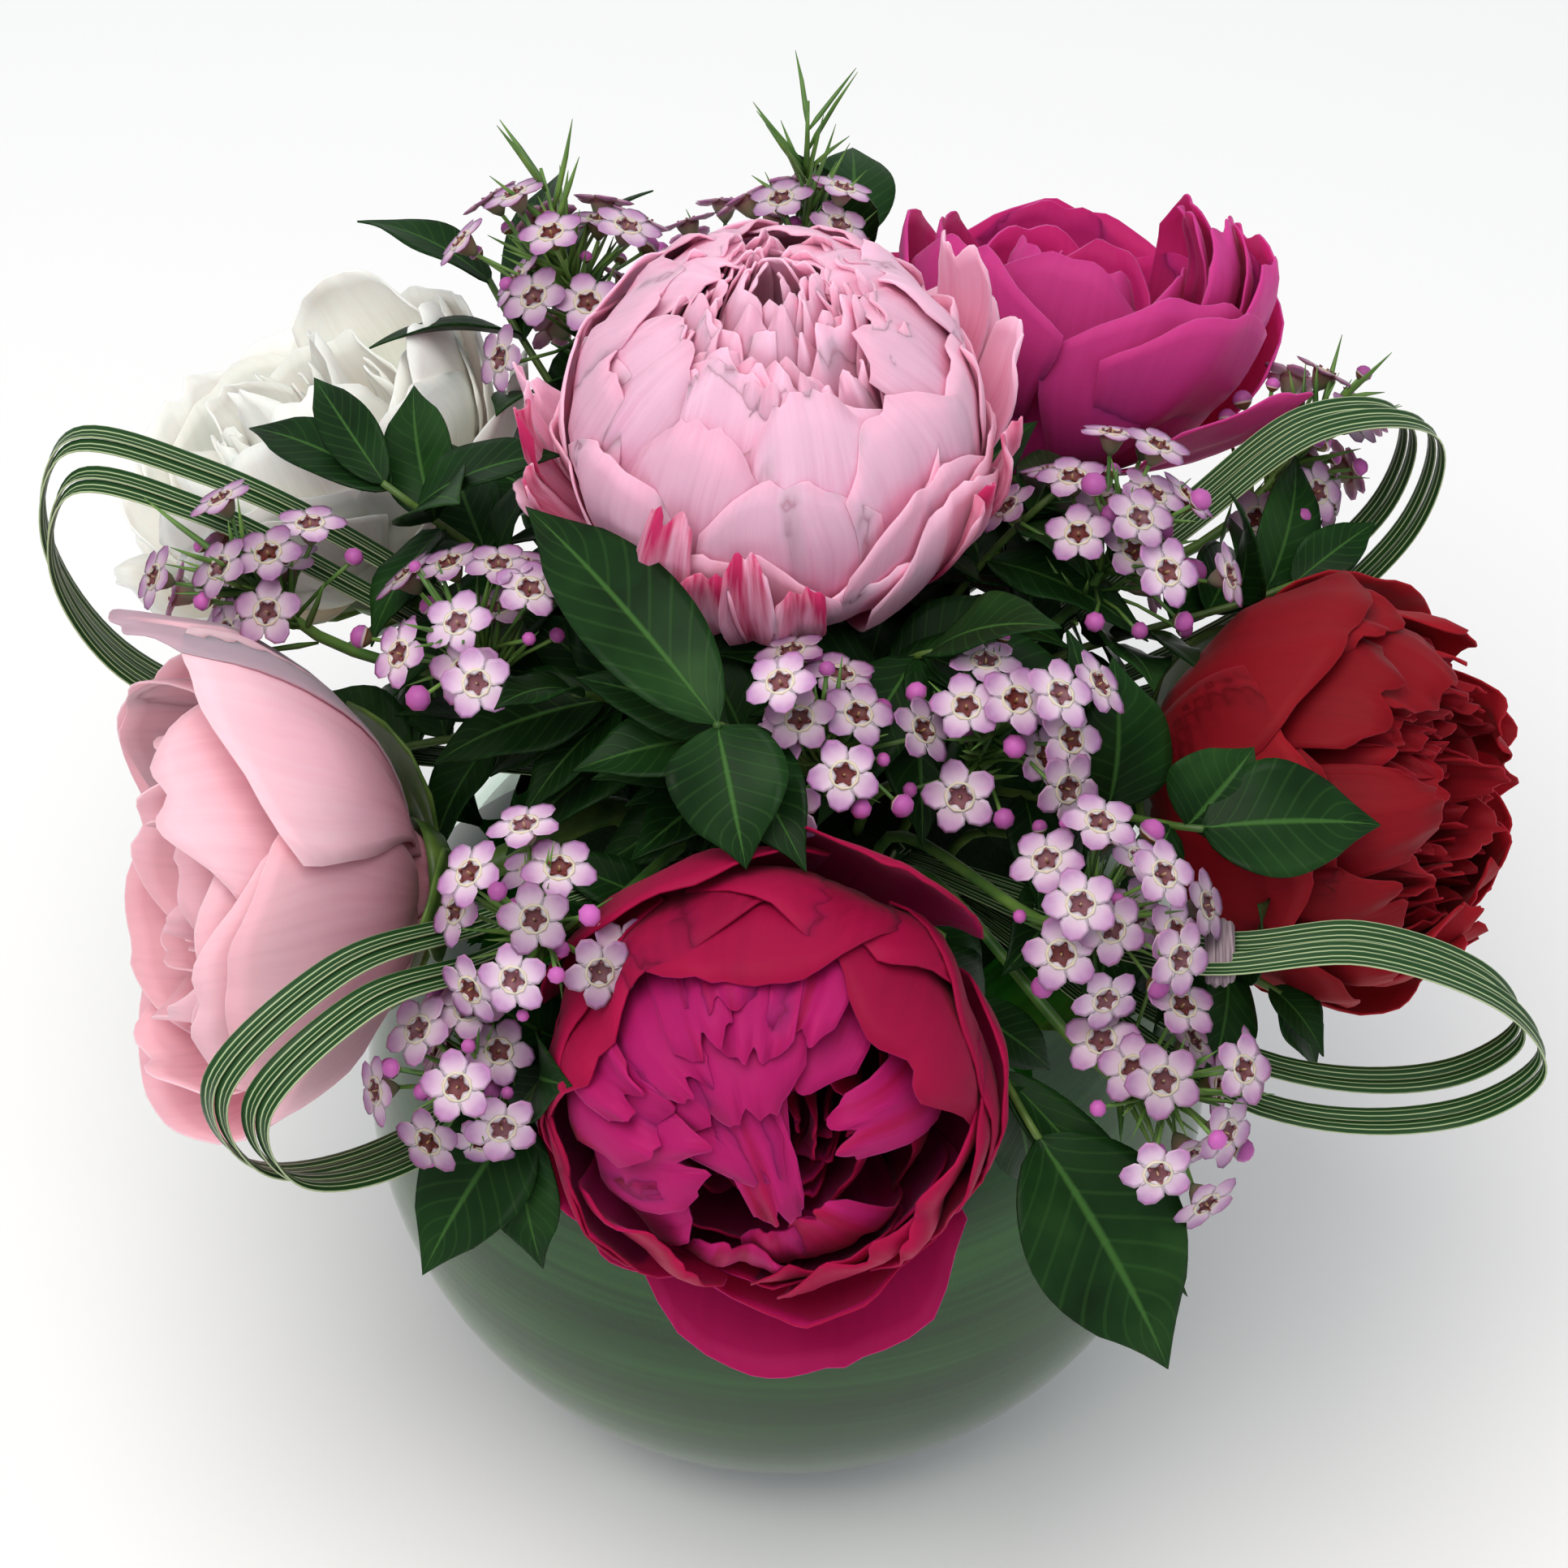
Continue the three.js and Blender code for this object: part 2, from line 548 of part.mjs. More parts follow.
// The petals of one peony from the innermost out: a spiral of nested ones, then the guards.
function petalsOf(peony) {
  const draw = seededDraw(peony.seed);
  const petals = [];
  for (let i = 0; i < peony.petals; i += 1) {
    const share = i / (peony.petals - 1);
    petals.push({
      azimuth: toRadians(i * GOLDEN_ANGLE + 14 * (draw() - 0.5)),
      radius: mix(peony.radius, share),
      close: toRadians(mix(peony.close, share) + 8 * (draw() - 0.5)),
      half: toRadians(mix(peony.half, share)),
      flare: mix(peony.flare, share ** 2),
      drop: OUTER_DROP * share,
      round: 0.2 + 0.08 * draw(),
      notch: 0.05 + 0.05 * draw(),
      ruffle: 0.5,
      waves: 4 + 2 * draw(),
      phase: 6 * draw(),
      semiHeight: peony.semiHeight,
    });
  }
  for (const [azimuth, radius, close, half, flare] of peony.guards) {
    petals.push({
      azimuth: toRadians(azimuth),
      radius,
      close: toRadians(close),
      half: toRadians(half),
      flare,
      drop: OUTER_DROP + 1,
      round: 0.24,
      notch: 0.03 + 0.03 * draw(),
      ruffle: 0.8,
      waves: 3 + 2 * draw(),
      phase: 6 * draw(),
      semiHeight: peony.semiHeight,
    });
  }
  return petals;
}

// Turns a geometry from a flower's own frame, where +Z is its face, to its place.
function placeFlower(geometry, peony) {
  const face = toVector(peony.face).normalize();
  const [level, rise] = frameAbout(face);
  const base = toVector(peony.centre).addScaledVector(face, -peony.semiHeight);
  return geometry.applyMatrix4(new THREE.Matrix4().makeBasis(level, rise, face).setPosition(base));
}

// The coloured part of a bloom: its petals, which all spring from a small core.
function peonyBloom(peony) {
  const core = new THREE.SphereGeometry(1, 5, 2).rotateX(Math.PI / 2);
  core.scale(CORE.radius, CORE.radius, CORE.semiHeight);
  const petals = petalsOf(peony).map((petal) => petalBlade(petal, PETAL_ROWS));
  return joined([core, ...petals].map((geometry) => solidOf(placeFlower(geometry, peony))));
}

// The green part under a bloom: a small cup, four sepals and the stem down into the foam.
function peonyStem(peony) {
  const cupProfile = [[0, -17], [9.6, -13], [13.4, -6.4], [7.5, -10.9], [0, -12.2]];
  const cup = new THREE.LatheGeometry(cupProfile.map(([x, y]) => new THREE.Vector2(x, y)), 6);
  const sepals = [30, 150, 270].map((azimuth) => petalBlade({
    azimuth: toRadians(azimuth), radius: 50, close: toRadians(48), half: toRadians(36), flare: 0,
    drop: 13.5, round: 0.55, notch: -0.1, ruffle: 0, waves: 0, phase: 0, semiHeight: peony.semiHeight,
  }, [1, 3, 3]));
  const face = toVector(peony.face).normalize();
  const neck = toVector(peony.centre).addScaledVector(face, -peony.semiHeight - 15);
  const foot = footing(neck);
  const stem = stemAlong(stemRoute(foot, neck, face), PEONY_STEM_RADIUS, 5);
  const flowerParts = [cup.rotateX(Math.PI / 2), ...sepals]
    .map((geometry) => placeFlower(geometry, peony));
  return {
    solid: joined([...flowerParts, stem].map(solidOf)),
    feet: [{ ...foot, radius: PEONY_STEM_RADIUS, sides: 5 }],
  };
}

// ---------------------------------------------------------------- leaves, sprays and grass

// A pointed leaf with a ridge along its midrib, folded up a little along it and arched down.
const LEAF = { ribHalf: 0.5, fold: 0.22, arch: 0.7 };
// Shares of a leaf's length at which it has a ring of corners.
const LEAF_STATIONS = { fine: [0.14, 0.45, 0.78], plain: [0.25, 0.7] };
function leafBlade({ root, ahead, face, length, width, stations, grow = 0 }) {
  const side = new THREE.Vector3().crossVectors(face, ahead).normalize();
  const up = new THREE.Vector3().crossVectors(ahead, side).normalize();
  const spine = (t) => root.clone()
    .addScaledVector(ahead, (length * Math.sin(LEAF.arch * t)) / LEAF.arch)
    .addScaledVector(up, (-length * (1 - Math.cos(LEAF.arch * t))) / LEAF.arch);
  const rings = stations.map((t) => {
    const half = (width / 2) * Math.sin(Math.PI * t ** 0.8) ** 0.85 * (1 - 0.18 * t) + grow;
    const lift = half * Math.tan(LEAF.fold);
    const middle = spine(t);
    return [
      middle.clone().addScaledVector(side, half).addScaledVector(up, lift),
      middle.clone().addScaledVector(up, LEAF.ribHalf + grow),
      middle.clone().addScaledVector(side, -half).addScaledVector(up, lift),
      middle.clone().addScaledVector(up, -LEAF.ribHalf - grow),
    ];
  });
  return skinOverRings(rings, root.clone(), spine(1 + grow / length));
}

// A needle leaf: three-sided, widest near its root and drawn out to a point.
function needle(root, ahead, length, radius) {
  const [level, rise] = frameAbout(ahead);
  const ring = [0, 120, 240].map((turn) => root.clone()
    .addScaledVector(ahead, length * 0.22)
    .addScaledVector(level, radius * Math.cos(toRadians(turn)))
    .addScaledVector(rise, radius * Math.sin(toRadians(turn))));
  const tip = root.clone().addScaledVector(ahead, length);
  const faces = [[2, 3], [3, 4], [4, 2]].flatMap(([a, b]) => [[0, a, b], [1, b, a]]);
  return geometryFrom([root.clone(), tip, ...ring], faces);
}

// A five-petalled waxflower on its stalk: blunt round petals round a shallow cup, over a calyx
// that narrows to the stalk's neck. The stalk's root is sunk in the twig.
const WAXFLOWER = { radius: 7.8, notchRadius: 3.6, petalHalfAngle: 19, neckDepth: 4.4, neckRadius: 1 };
function waxflower(root, head, face, grow = 0) {
  const [level, rise] = frameAbout(face);
  const place = (reach, turn, lift) => head.clone()
    .addScaledVector(level, reach * Math.cos(turn))
    .addScaledVector(rise, reach * Math.sin(turn))
    .addScaledVector(face, lift);
  const neckRadius = WAXFLOWER.neckRadius + grow;
  const neck = [36, 180, 288].map((turn) => place(neckRadius, toRadians(turn), -WAXFLOWER.neckDepth));
  const points = [root.clone(), place(0, 0, -0.7 + grow), ...neck];
  const rim = [];
  for (let k = 0; k < 5; k += 1) {
    const middle = 72 * (k + 0.5);
    for (const turn of [-WAXFLOWER.petalHalfAngle, WAXFLOWER.petalHalfAngle]) {
      rim.push(points.length);
      points.push(place(WAXFLOWER.radius + grow, toRadians(middle + turn), 0.9));
    }
    rim.push(points.length);
    points.push(place(WAXFLOWER.notchRadius + grow, toRadians(middle + 36), 0.2));
  }
  const neckOf = (k) => (k < 6 ? 2 : k < 12 ? 3 : 4);
  const faces = [[0, 3, 2], [0, 4, 3], [0, 2, 4]];
  rim.forEach((corner, k) => {
    const next = (k + 1) % rim.length;
    faces.push([1, corner, rim[next]], [neckOf(k), rim[next], corner]);
    if (neckOf(k) !== neckOf(next)) faces.push([neckOf(k), neckOf(next), rim[next]]);
  });
  return geometryFrom(points, faces);
}

// One waxflower spray: a twig, flowers on stalks round its hub, and needle leaves on the twig
// and its tip. A flower or needle that would touch what is in place is left off.
function waxflowerSpray(spray, hub, isClear) {
  const draw = seededDraw(spray.seed);
  const foot = footing(hub);
  const axis = new THREE.Vector3().subVectors(hub, STEM_FOCUS).normalize();
  const lowestStalk = hub.clone().addScaledVector(axis, -STALK_SPREAD);
  const route = [...stemRoute(foot, lowestStalk, axis), hub.clone().addScaledVector(axis, spray.tip)];
  if (!isClear(solidOf(stemAlong(route, TWIG_RADIUS + NEIGHBOUR_GAP, 3)))) return null;
  const pieces = [solidOf(stemAlong(route, TWIG_RADIUS, 3))];
  for (let k = 0; k < spray.flowers; k += 1) {
    const tilt = toRadians(spray.cone) * Math.sqrt((k + 0.6) / spray.flowers);
    const outward = tilted(axis, tilt, toRadians(k * GOLDEN_ANGLE) + 0.5 * draw());
    const root = hub.clone().addScaledVector(axis, -STALK_SPREAD * draw());
    const head = root.clone().addScaledVector(outward, spray.reach * (0.82 + 0.36 * draw()));
    const face = outward.clone().addScaledVector(axis, 0.5).normalize();
    if (isClear(solidOf(waxflower(root, head, face, NEIGHBOUR_GAP)))) {
      pieces.push(solidOf(waxflower(root, head, face)));
    }
  }
  for (let k = 0; k < spray.needles; k += 1) {
    const share = k / spray.needles;
    const root = hub.clone().addScaledVector(axis, spray.tip * share - 12 * (1 - share));
    const ahead = tilted(axis, toRadians(46 - 20 * share), toRadians(k * GOLDEN_ANGLE + 40));
    const length = 18 + 6 * draw();
    if (isClear(solidOf(needle(root, ahead, length, 0.8 + NEIGHBOUR_GAP)))) {
      pieces.push(solidOf(needle(root, ahead, length, 0.8)));
    }
  }
  return { solid: joined(pieces), feet: [{ ...foot, radius: TWIG_RADIUS, sides: 3 }] };
}

// One leafy stem: its own leaves to their places, then the smaller ones alternately up it. A leaf
// that would touch what is in place is turned round the stem until it is clear, or left off.
function leafyStem(spec, end, isClear) {
  const draw = seededDraw(spec.seed);
  const foot = footing(end);
  const arrival = new THREE.Vector3(end.x, end.y, 0).normalize().multiplyScalar(0.8);
  arrival.z = (end.z - 190) / 90;
  const route = stemRoute(foot, end, arrival.normalize());
  if (!isClear(solidOf(stemAlong(route, LEAF_STEM_RADIUS + NEIGHBOUR_GAP, 3)))) return null;
  const pieces = [solidOf(stemAlong(route, LEAF_STEM_RADIUS, 3))];
  const addLeaf = (root, directions, length, width, stations) => {
    for (const scale of [1, 0.75, 0.55]) {
      for (const ahead of directions) {
        const away = new THREE.Vector3().subVectors(root, STEM_FOCUS).normalize();
        const face = away.addScaledVector(ahead, -away.dot(ahead)).normalize();
        const leaf = { root, ahead, face, length: length * scale, width: width * scale, stations };
        if (isClear(solidOf(leafBlade({ ...leaf, grow: NEIGHBOUR_GAP })))) {
          pieces.push(solidOf(leafBlade(leaf)));
          return;
        }
      }
    }
  };
  for (const [share, tip, width] of spec.blades) {
    const root = onBend(route, share).point;
    const toTip = toVector(tip).sub(root);
    const length = toTip.length();
    const away = new THREE.Vector3().subVectors(root, STEM_FOCUS).normalize();
    const direct = toTip.normalize().addScaledVector(away, LEAF.arch / 2).normalize();
    addLeaf(root, [direct, ...[8, 16, 24].flatMap((lean) => (
      [0, 90, 180, 270].map((turn) => tilted(direct, toRadians(lean), toRadians(turn)))
    ))], length, width, LEAF_STATIONS.fine);
  }
  for (let k = 0; k < spec.fill; k += 1) {
    const highest = spec.blades.length ? 0.85 : 0.99;
    const share = Math.min(0.35 + (0.64 * k) / Math.max(spec.fill - 1, 1), highest);
    const size = 0.75 + 0.25 * draw();
    const lean = toRadians(share > 0.98 ? 4 : 48 + 14 * draw());
    const firstTurn = k * Math.PI + 0.7 * (draw() - 0.5);
    const { point: root, heading } = onBend(route, share);
    const directions = [0, 0.5, -0.5, 1, -1, 1.5, -1.5].map((turn) => (
      tilted(heading, lean + 0.1 * Math.abs(turn), firstTurn + turn)
    ));
    addLeaf(root, directions, FILL_LEAF.length * size, FILL_LEAF.width * size, LEAF_STATIONS.plain);
  }
  return { solid: joined(pieces), feet: [{ ...foot, radius: LEAF_STEM_RADIUS, sides: 3 }] };
}

// A loop of two grass blades, wired together where they leave the foam and go back into it.
function grassLoop(loop) {
  const axis = new THREE.Vector3(-loop.outward[1], loop.outward[0], 0).normalize();
  const via = loop.via.map(toVector);
  const centre = via.reduce((sum, point) => sum.clone().add(point)).divideScalar(via.length);
  const feet = [via[0], via[via.length - 1]].map((point, k) => {
    const aim = point.clone();
    aim.z = 215 - 55 * k;
    return footing(aim);
  });
  const ties = feet.map((foot) => stemAlong(
    [foot.end, foot.entry.clone().addScaledVector(foot.heading, 4)], GRASS_TIE_RADIUS, 4,
  ));
  const blades = [-0.5, 0.5].map((side, b) => {
    const starts = feet.map((foot) => foot.entry.clone().addScaledVector(axis, 1.6 * side));
    const middles = via.map((point) => centre.clone()
      .addScaledVector(new THREE.Vector3().subVectors(point, centre), 1 - GRASS_BLADE.inset * b)
      .addScaledVector(axis, GRASS_BLADE.spacing * side));
    const curve = new THREE.CatmullRomCurve3([starts[0], ...middles, starts[1]]);
    const rings = curve.getPoints(GRASS_STEPS).map((point, k) => {
      const share = k / GRASS_STEPS;
      const ahead = curve.getTangent(share);
      const across = axis.clone().addScaledVector(ahead, -axis.dot(ahead)).normalize();
      const out = new THREE.Vector3().crossVectors(ahead, across);
      const half = (GRASS_BLADE.width / 2) * (0.35 + 0.65 * Math.sin(Math.PI * share) ** 0.5);
      return [
        point.clone().addScaledVector(across, half),
        point.clone().addScaledVector(out, GRASS_BLADE.thickness / 2),
        point.clone().addScaledVector(across, -half),
        point.clone().addScaledVector(out, -GRASS_BLADE.thickness / 2),
      ];
    });
    return skinOverRings(rings);
  });
  return {
    solid: joined([...ties, ...blades].map(solidOf)),
    feet: feet.map((foot) => ({ ...foot, radius: GRASS_TIE_RADIUS, sides: 4 })),
  };
}

// ---------------------------------------------------------------- putting it together

const COLOURS = {
  glass: '#dfe9e6', lining: '#2f5c2a', foam: '#3c6b3f', stem: '#5d7f35', leaf: '#23511f',
  waxflower: '#cfa3c4', grass: '#4c7a44',
};

const arrangement = new THREE.Group();
const placed = [];
const feet = [];
const isClear = (solid) => placed.every((other) => other.intersect(solid).isEmpty());

// Adds a solid to the arrangement as a mesh of its own.
function addMesh(name, solid, colour, finish = {}) {
  const material = new THREE.MeshStandardMaterial({
    color: colour, roughness: 0.5, metalness: 0, ...finish,
  });
  const mesh = new THREE.Mesh(geometryOf(solid), material);
  mesh.name = name;
  arrangement.add(mesh);
  placed.push(solid);
}

// Adds something that stands in the foam. Its far point is turned a little about the bowl's axis
// and lifted until its stem is clear of the stems already in place.
function addStanding(name, target, make, colour, finish) {
  for (const lift of [0, 7, -7, 14]) {
    for (const turn of [0, 3, -3, 6, -6, 9, -9, 12, -12, 15, -15, 18, -18]) {
      const moved = toVector(target).applyAxisAngle(UP, toRadians(turn));
      moved.z += lift;
      const made = make(moved);
      if (made && isClear(made.solid)) {
        addMesh(name, made.solid, colour, finish);
        feet.push(...made.feet);
        return;
      }
    }
  }
  throw new Error(`${name} finds no clear place`);
}

addMesh('bowl', bowl(), COLOURS.glass, { roughness: 0.05, transparent: true, opacity: 0.35 });
const liningRadius = BOWL.radius - BOWL.wall - LINING.gap;
addMesh('lining_leaf_front', liningLeaf(3, liningRadius), COLOURS.lining);
addMesh('lining_leaf_back', liningLeaf(-4, liningRadius - LINING.step), COLOURS.lining);

for (const peony of PEONIES) {
  const stem = peonyStem(peony);
  addMesh(peony.name, peonyBloom(peony), peony.colour, { roughness: 0.6 });
  addMesh(`${peony.name}_stem`, stem.solid, COLOURS.stem);
  feet.push(...stem.feet);
}
for (const loop of GRASS_LOOPS) {
  const made = grassLoop(loop);
  addMesh(loop.name, made.solid, COLOURS.grass, { roughness: 0.4 });
  feet.push(...made.feet);
}
for (const spray of SPRAYS) {
  addStanding(spray.name, spray.hub, (hub) => waxflowerSpray(spray, hub, isClear), COLOURS.waxflower);
}
for (const spec of LEAFY_STEMS) {
  const make = (end) => leafyStem(spec, end, isClear);
  addStanding(spec.name, spec.end, make, COLOURS.leaf, { roughness: 0.4 });
}
addMesh('floral_foam', foam(feet), COLOURS.foam, { roughness: 0.95 });

export default arrangement;
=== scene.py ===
"""A round floral table centrepiece: six peonies, waxflower, leafy stems and looped lily grass,
stuck into soaked floral foam inside a glass bubble bowl that is lined with broad leaves.

The shapes are worked out in millimetres, as a florist would measure them, and each mesh is
brought to metres as it is finished. The front faces -Y and +X is to its right.
"""
import math

import bpy
from mathutils import Euler, Matrix, Vector, noise
from mathutils.bvhtree import BVHTree
from mathutils.kdtree import KDTree


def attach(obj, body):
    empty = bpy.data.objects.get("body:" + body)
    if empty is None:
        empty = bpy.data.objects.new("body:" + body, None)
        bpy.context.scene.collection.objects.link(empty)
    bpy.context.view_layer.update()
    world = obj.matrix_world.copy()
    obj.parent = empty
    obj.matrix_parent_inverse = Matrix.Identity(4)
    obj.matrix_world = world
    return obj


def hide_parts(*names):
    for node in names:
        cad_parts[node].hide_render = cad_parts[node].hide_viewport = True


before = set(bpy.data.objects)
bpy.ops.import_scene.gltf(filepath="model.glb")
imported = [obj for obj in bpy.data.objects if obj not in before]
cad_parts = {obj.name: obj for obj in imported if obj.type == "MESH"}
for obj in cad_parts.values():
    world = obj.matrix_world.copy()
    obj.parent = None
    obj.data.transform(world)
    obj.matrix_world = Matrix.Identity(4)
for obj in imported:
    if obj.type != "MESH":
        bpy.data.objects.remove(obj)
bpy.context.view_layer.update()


# ---- The table, the light and the camera -----------------------------------------------------
# A white table top in soft daylight: a bright sky all round and one wide window overhead, a
# little to the front and left. The camera looks down at 45 degrees from 0.9 m away.

MM = 0.001

# These places and widths are in metres, and the window's power is in watts.
LOOK_AT = Vector((-0.0007, 0, 0.1775))
CAMERA_DISTANCE = 0.9
CAMERA_ELEVATION = math.radians(45)
LENS = 92.2
SKY_STRENGTH = 0.72
WINDOW_WIDTH = 1.1
WINDOW_POWER = 14
WINDOW_PLACE = (-0.22, -0.45, 1.5)
TABLE_WIDTH = 12


def primitive(kind, **settings):
    """A new primitive, alone selected."""
    bpy.ops.object.select_all(action="DESELECT")
    getattr(bpy.ops.mesh, f"primitive_{kind}_add")(**settings)
    return bpy.context.object


def linear(colour):
    """An sRGB hex colour as linear red, green, blue and 1."""
    shares = [int(colour[i:i + 2], 16) / 255 for i in (1, 3, 5)]
    return [s / 12.92 if s <= 0.04045 else ((s + 0.055) / 1.055) ** 2.4 for s in shares] + [1.0]


def add_node(material, kind, settings=None, links=None):
    """Adds a node with its settings, which may be a ramp's stops, and links its inputs."""
    node = material.node_tree.nodes.new("ShaderNode" + kind)
    for key, value in (settings or {}).items():
        if key == "stops":
            ramp = node.color_ramp.elements
            while len(ramp) < len(value):
                ramp.new(1.0)
            for stop, (place, colour) in zip(ramp, value):
                stop.position = place
                stop.color = colour
        elif isinstance(key, str) and hasattr(node, key):
            setattr(node, key, value)
        else:
            node.inputs[key].default_value = value
    for key, (source, output) in (links or {}).items():
        material.node_tree.links.new(source.outputs[output], node.inputs[key])
    return node


def new_material(name, settings):
    """A material with its shader's own sockets set, and that shader."""
    material = bpy.data.materials.new(name)
    material.use_nodes = True
    shader = material.node_tree.nodes["Principled BSDF"]
    for key, value in settings.items():
        shader.inputs[key].default_value = value
    return material, shader


def link(material, source, output, shader, socket):
    """Feeds one of the shader's sockets from a node."""
    material.node_tree.links.new(source.outputs[output], shader.inputs[socket])


camera = bpy.data.objects.new("camera", bpy.data.cameras.new("camera"))
camera.data.lens = LENS
camera.data.sensor_width = 36
back = Vector((0, -math.cos(CAMERA_ELEVATION), math.sin(CAMERA_ELEVATION)))
camera.location = LOOK_AT + back * CAMERA_DISTANCE
camera.rotation_euler = (math.pi / 2 - CAMERA_ELEVATION, 0, 0)
camera.data.clip_start = 0.05
bpy.context.scene.collection.objects.link(camera)
bpy.context.scene.camera = camera

sky = bpy.data.worlds.new("sky")
sky.use_nodes = True
daylight = sky.node_tree.nodes["Background"]
daylight.inputs["Color"].default_value = linear("#f4f7fb")
daylight.inputs["Strength"].default_value = SKY_STRENGTH
bpy.context.scene.world = sky
bpy.context.scene.view_settings.view_transform = "Standard"

window = bpy.data.objects.new("window", bpy.data.lights.new("window", "AREA"))
window.data.shape = "DISK"
window.data.size = WINDOW_WIDTH
window.data.energy = WINDOW_POWER
window.data.color = linear("#fffaf2")[:3]
window.location = WINDOW_PLACE
window.rotation_euler = (LOOK_AT - window.location).to_track_quat("-Z", "Y").to_euler()
bpy.context.scene.collection.objects.link(window)

table_top = primitive("grid", x_subdivisions=2, y_subdivisions=2, size=TABLE_WIDTH)
table_top.name = "table_top"
tablecloth, shader = new_material("white_tablecloth", {"Roughness": 0.9})
shader.inputs["Base Color"].default_value = linear("#fdfdfd")
table_top.data.materials.append(tablecloth)


# ---- The glass bubble bowl -------------------------------------------------------------------
# Blown soda-lime glass, 200 mm across, cut flat and ground at the foot and fire-rounded at the
# mouth. The gather leaves the floor thicker than the wall.

BOWL_RADIUS = 100
BOWL_WALL = 3.2
BOWL_FLOOR = 7
EDGE_ROUNDING = 1.4
FOOT_RADIUS = 50
MOUTH_RADIUS = 63
BOWL_CENTRE_Z = math.sqrt(BOWL_RADIUS ** 2 - FOOT_RADIUS ** 2)


def finish_with(piece, kind, **settings):
    """Adds a modifier to a piece and applies it."""
    bpy.ops.object.select_all(action="DESELECT")
    bpy.context.view_layer.objects.active = piece
    piece.select_set(True)
    modifier = piece.modifiers.new("finish", kind)
    for key, value in settings.items():
        setattr(modifier, key, value)
    bpy.ops.object.modifier_apply(modifier=modifier.name)
    return piece


def ride_as(piece, slot, *nodes):
    """The piece is fixed to the arrangement and stands for those nodes, which are hidden; slot is not used.
    """
    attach(piece, "root")
    if nodes:
        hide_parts(*nodes)


def mottled(name, settings, size, detail, stops, bump=None):
    """A finish whose colour wanders over patches of about that size in millimetres, and whose
    surface rises with it where a bump is given."""
    material, shader = new_material(name, settings)
    place = add_node(material, "TexCoord")
    patches = add_node(material, "TexNoise", {"Scale": 1000 / size, "Detail": detail},
                       {"Vector": (place, "Object")})
    ramp = add_node(material, "ValToRGB", {"stops": [(share, linear(colour)) for share, colour in stops]},
                    {"Fac": (patches, "Fac")})
    link(material, ramp, "Color", shader, "Base Color")
    if bump:
        relief = add_node(material, "Bump", bump, {"Height": (patches, "Fac")})
        link(material, relief, "Normal", shader, "Normal")
    return material


def glass_bowl():
    """A ball cut off at foot and mouth, with its wall, its thicker floor and its rounded edges."""
    bowl = primitive("uv_sphere", segments=96, ring_count=64, radius=BOWL_RADIUS * MM,
                     location=(0, 0, BOWL_CENTRE_Z * MM))
    bowl.name = "bubble_bowl"
    bpy.ops.object.transform_apply(location=True)
    mouth_z = BOWL_CENTRE_Z + math.sqrt(BOWL_RADIUS ** 2 - MOUTH_RADIUS ** 2)
    bpy.ops.object.mode_set(mode="EDIT")
    for height, upwards, filled in ((0.0, -1, True), (mouth_z, 1, False)):
        bpy.ops.mesh.select_all(action="SELECT")
        bpy.ops.mesh.bisect(plane_co=(0, 0, height * MM), plane_no=(0, 0, upwards),
                            use_fill=filled, clear_outer=True)
    bpy.ops.object.mode_set(mode="OBJECT")
    finish_with(bowl, "SOLIDIFY", thickness=BOWL_WALL * MM, offset=-1, use_even_offset=True)
    for vertex in bowl.data.vertices:
        off_axis = math.hypot(vertex.co.x, vertex.co.y)
        if 0.5 * MM < vertex.co.z < BOWL_FLOOR * MM and off_axis < (FOOT_RADIUS - 0.5) * MM:
            vertex.co.z = BOWL_FLOOR * MM
    finish_with(bowl, "BEVEL", width=EDGE_ROUNDING * MM, segments=4, limit_method="ANGLE",
                angle_limit=math.radians(40))
    return bowl


bowl = glass_bowl()
# Clear soda-lime glass, fire-polished: free of roughness and very slightly green, a little more
# so in cords some 30 mm apart.
glass = mottled("soda_lime_glass", {"Roughness": 0.0, "IOR": 1.47, "Transmission Weight": 1.0},
                29.4, 1.0, [(0.3, "#d9ecde"), (0.7, "#e6f3ea")])
bowl.data.materials.clear()
bowl.data.materials.append(glass)
bowl.data.shade_smooth()
ride_as(bowl, "glass", "bowl")


# ---- The lining leaves -----------------------------------------------------------------------
# Two broad aspidistra leaves laid round the inside of the glass before the foam goes in. They
# are dark green with fine lengthwise veins that run round the bowl. The front one is pressed wet
# onto the glass: its outer face lies 0.4 mm within the wall, and no air shows between the two.

LINING_RADIUS = 97.2
LINING_BEHIND = 94.0
LINING_THICKNESS = 0.6
SEGMENT = math.radians(360 / 14)
MOUTH_ANGLE = math.asin((MOUTH_RADIUS - BOWL_WALL) / (BOWL_RADIUS - BOWL_WALL))
FLOOR_ANGLE = math.pi - math.acos((BOWL_CENTRE_Z - BOWL_FLOOR) / (BOWL_RADIUS - BOWL_WALL))


def shaped_sheet(name, columns, rows, place):
    """A flat grid bent so that a point goes to place(across, along), in millimetres. across
    runs from -1 to 1, and along from 0 to 1."""
    sheet = primitive("grid", x_subdivisions=columns, y_subdivisions=rows, size=2)
    sheet.name = name
    for vertex in sheet.data.vertices:
        vertex.co = place(vertex.co.x, (vertex.co.y + 1) / 2) * MM
    return sheet


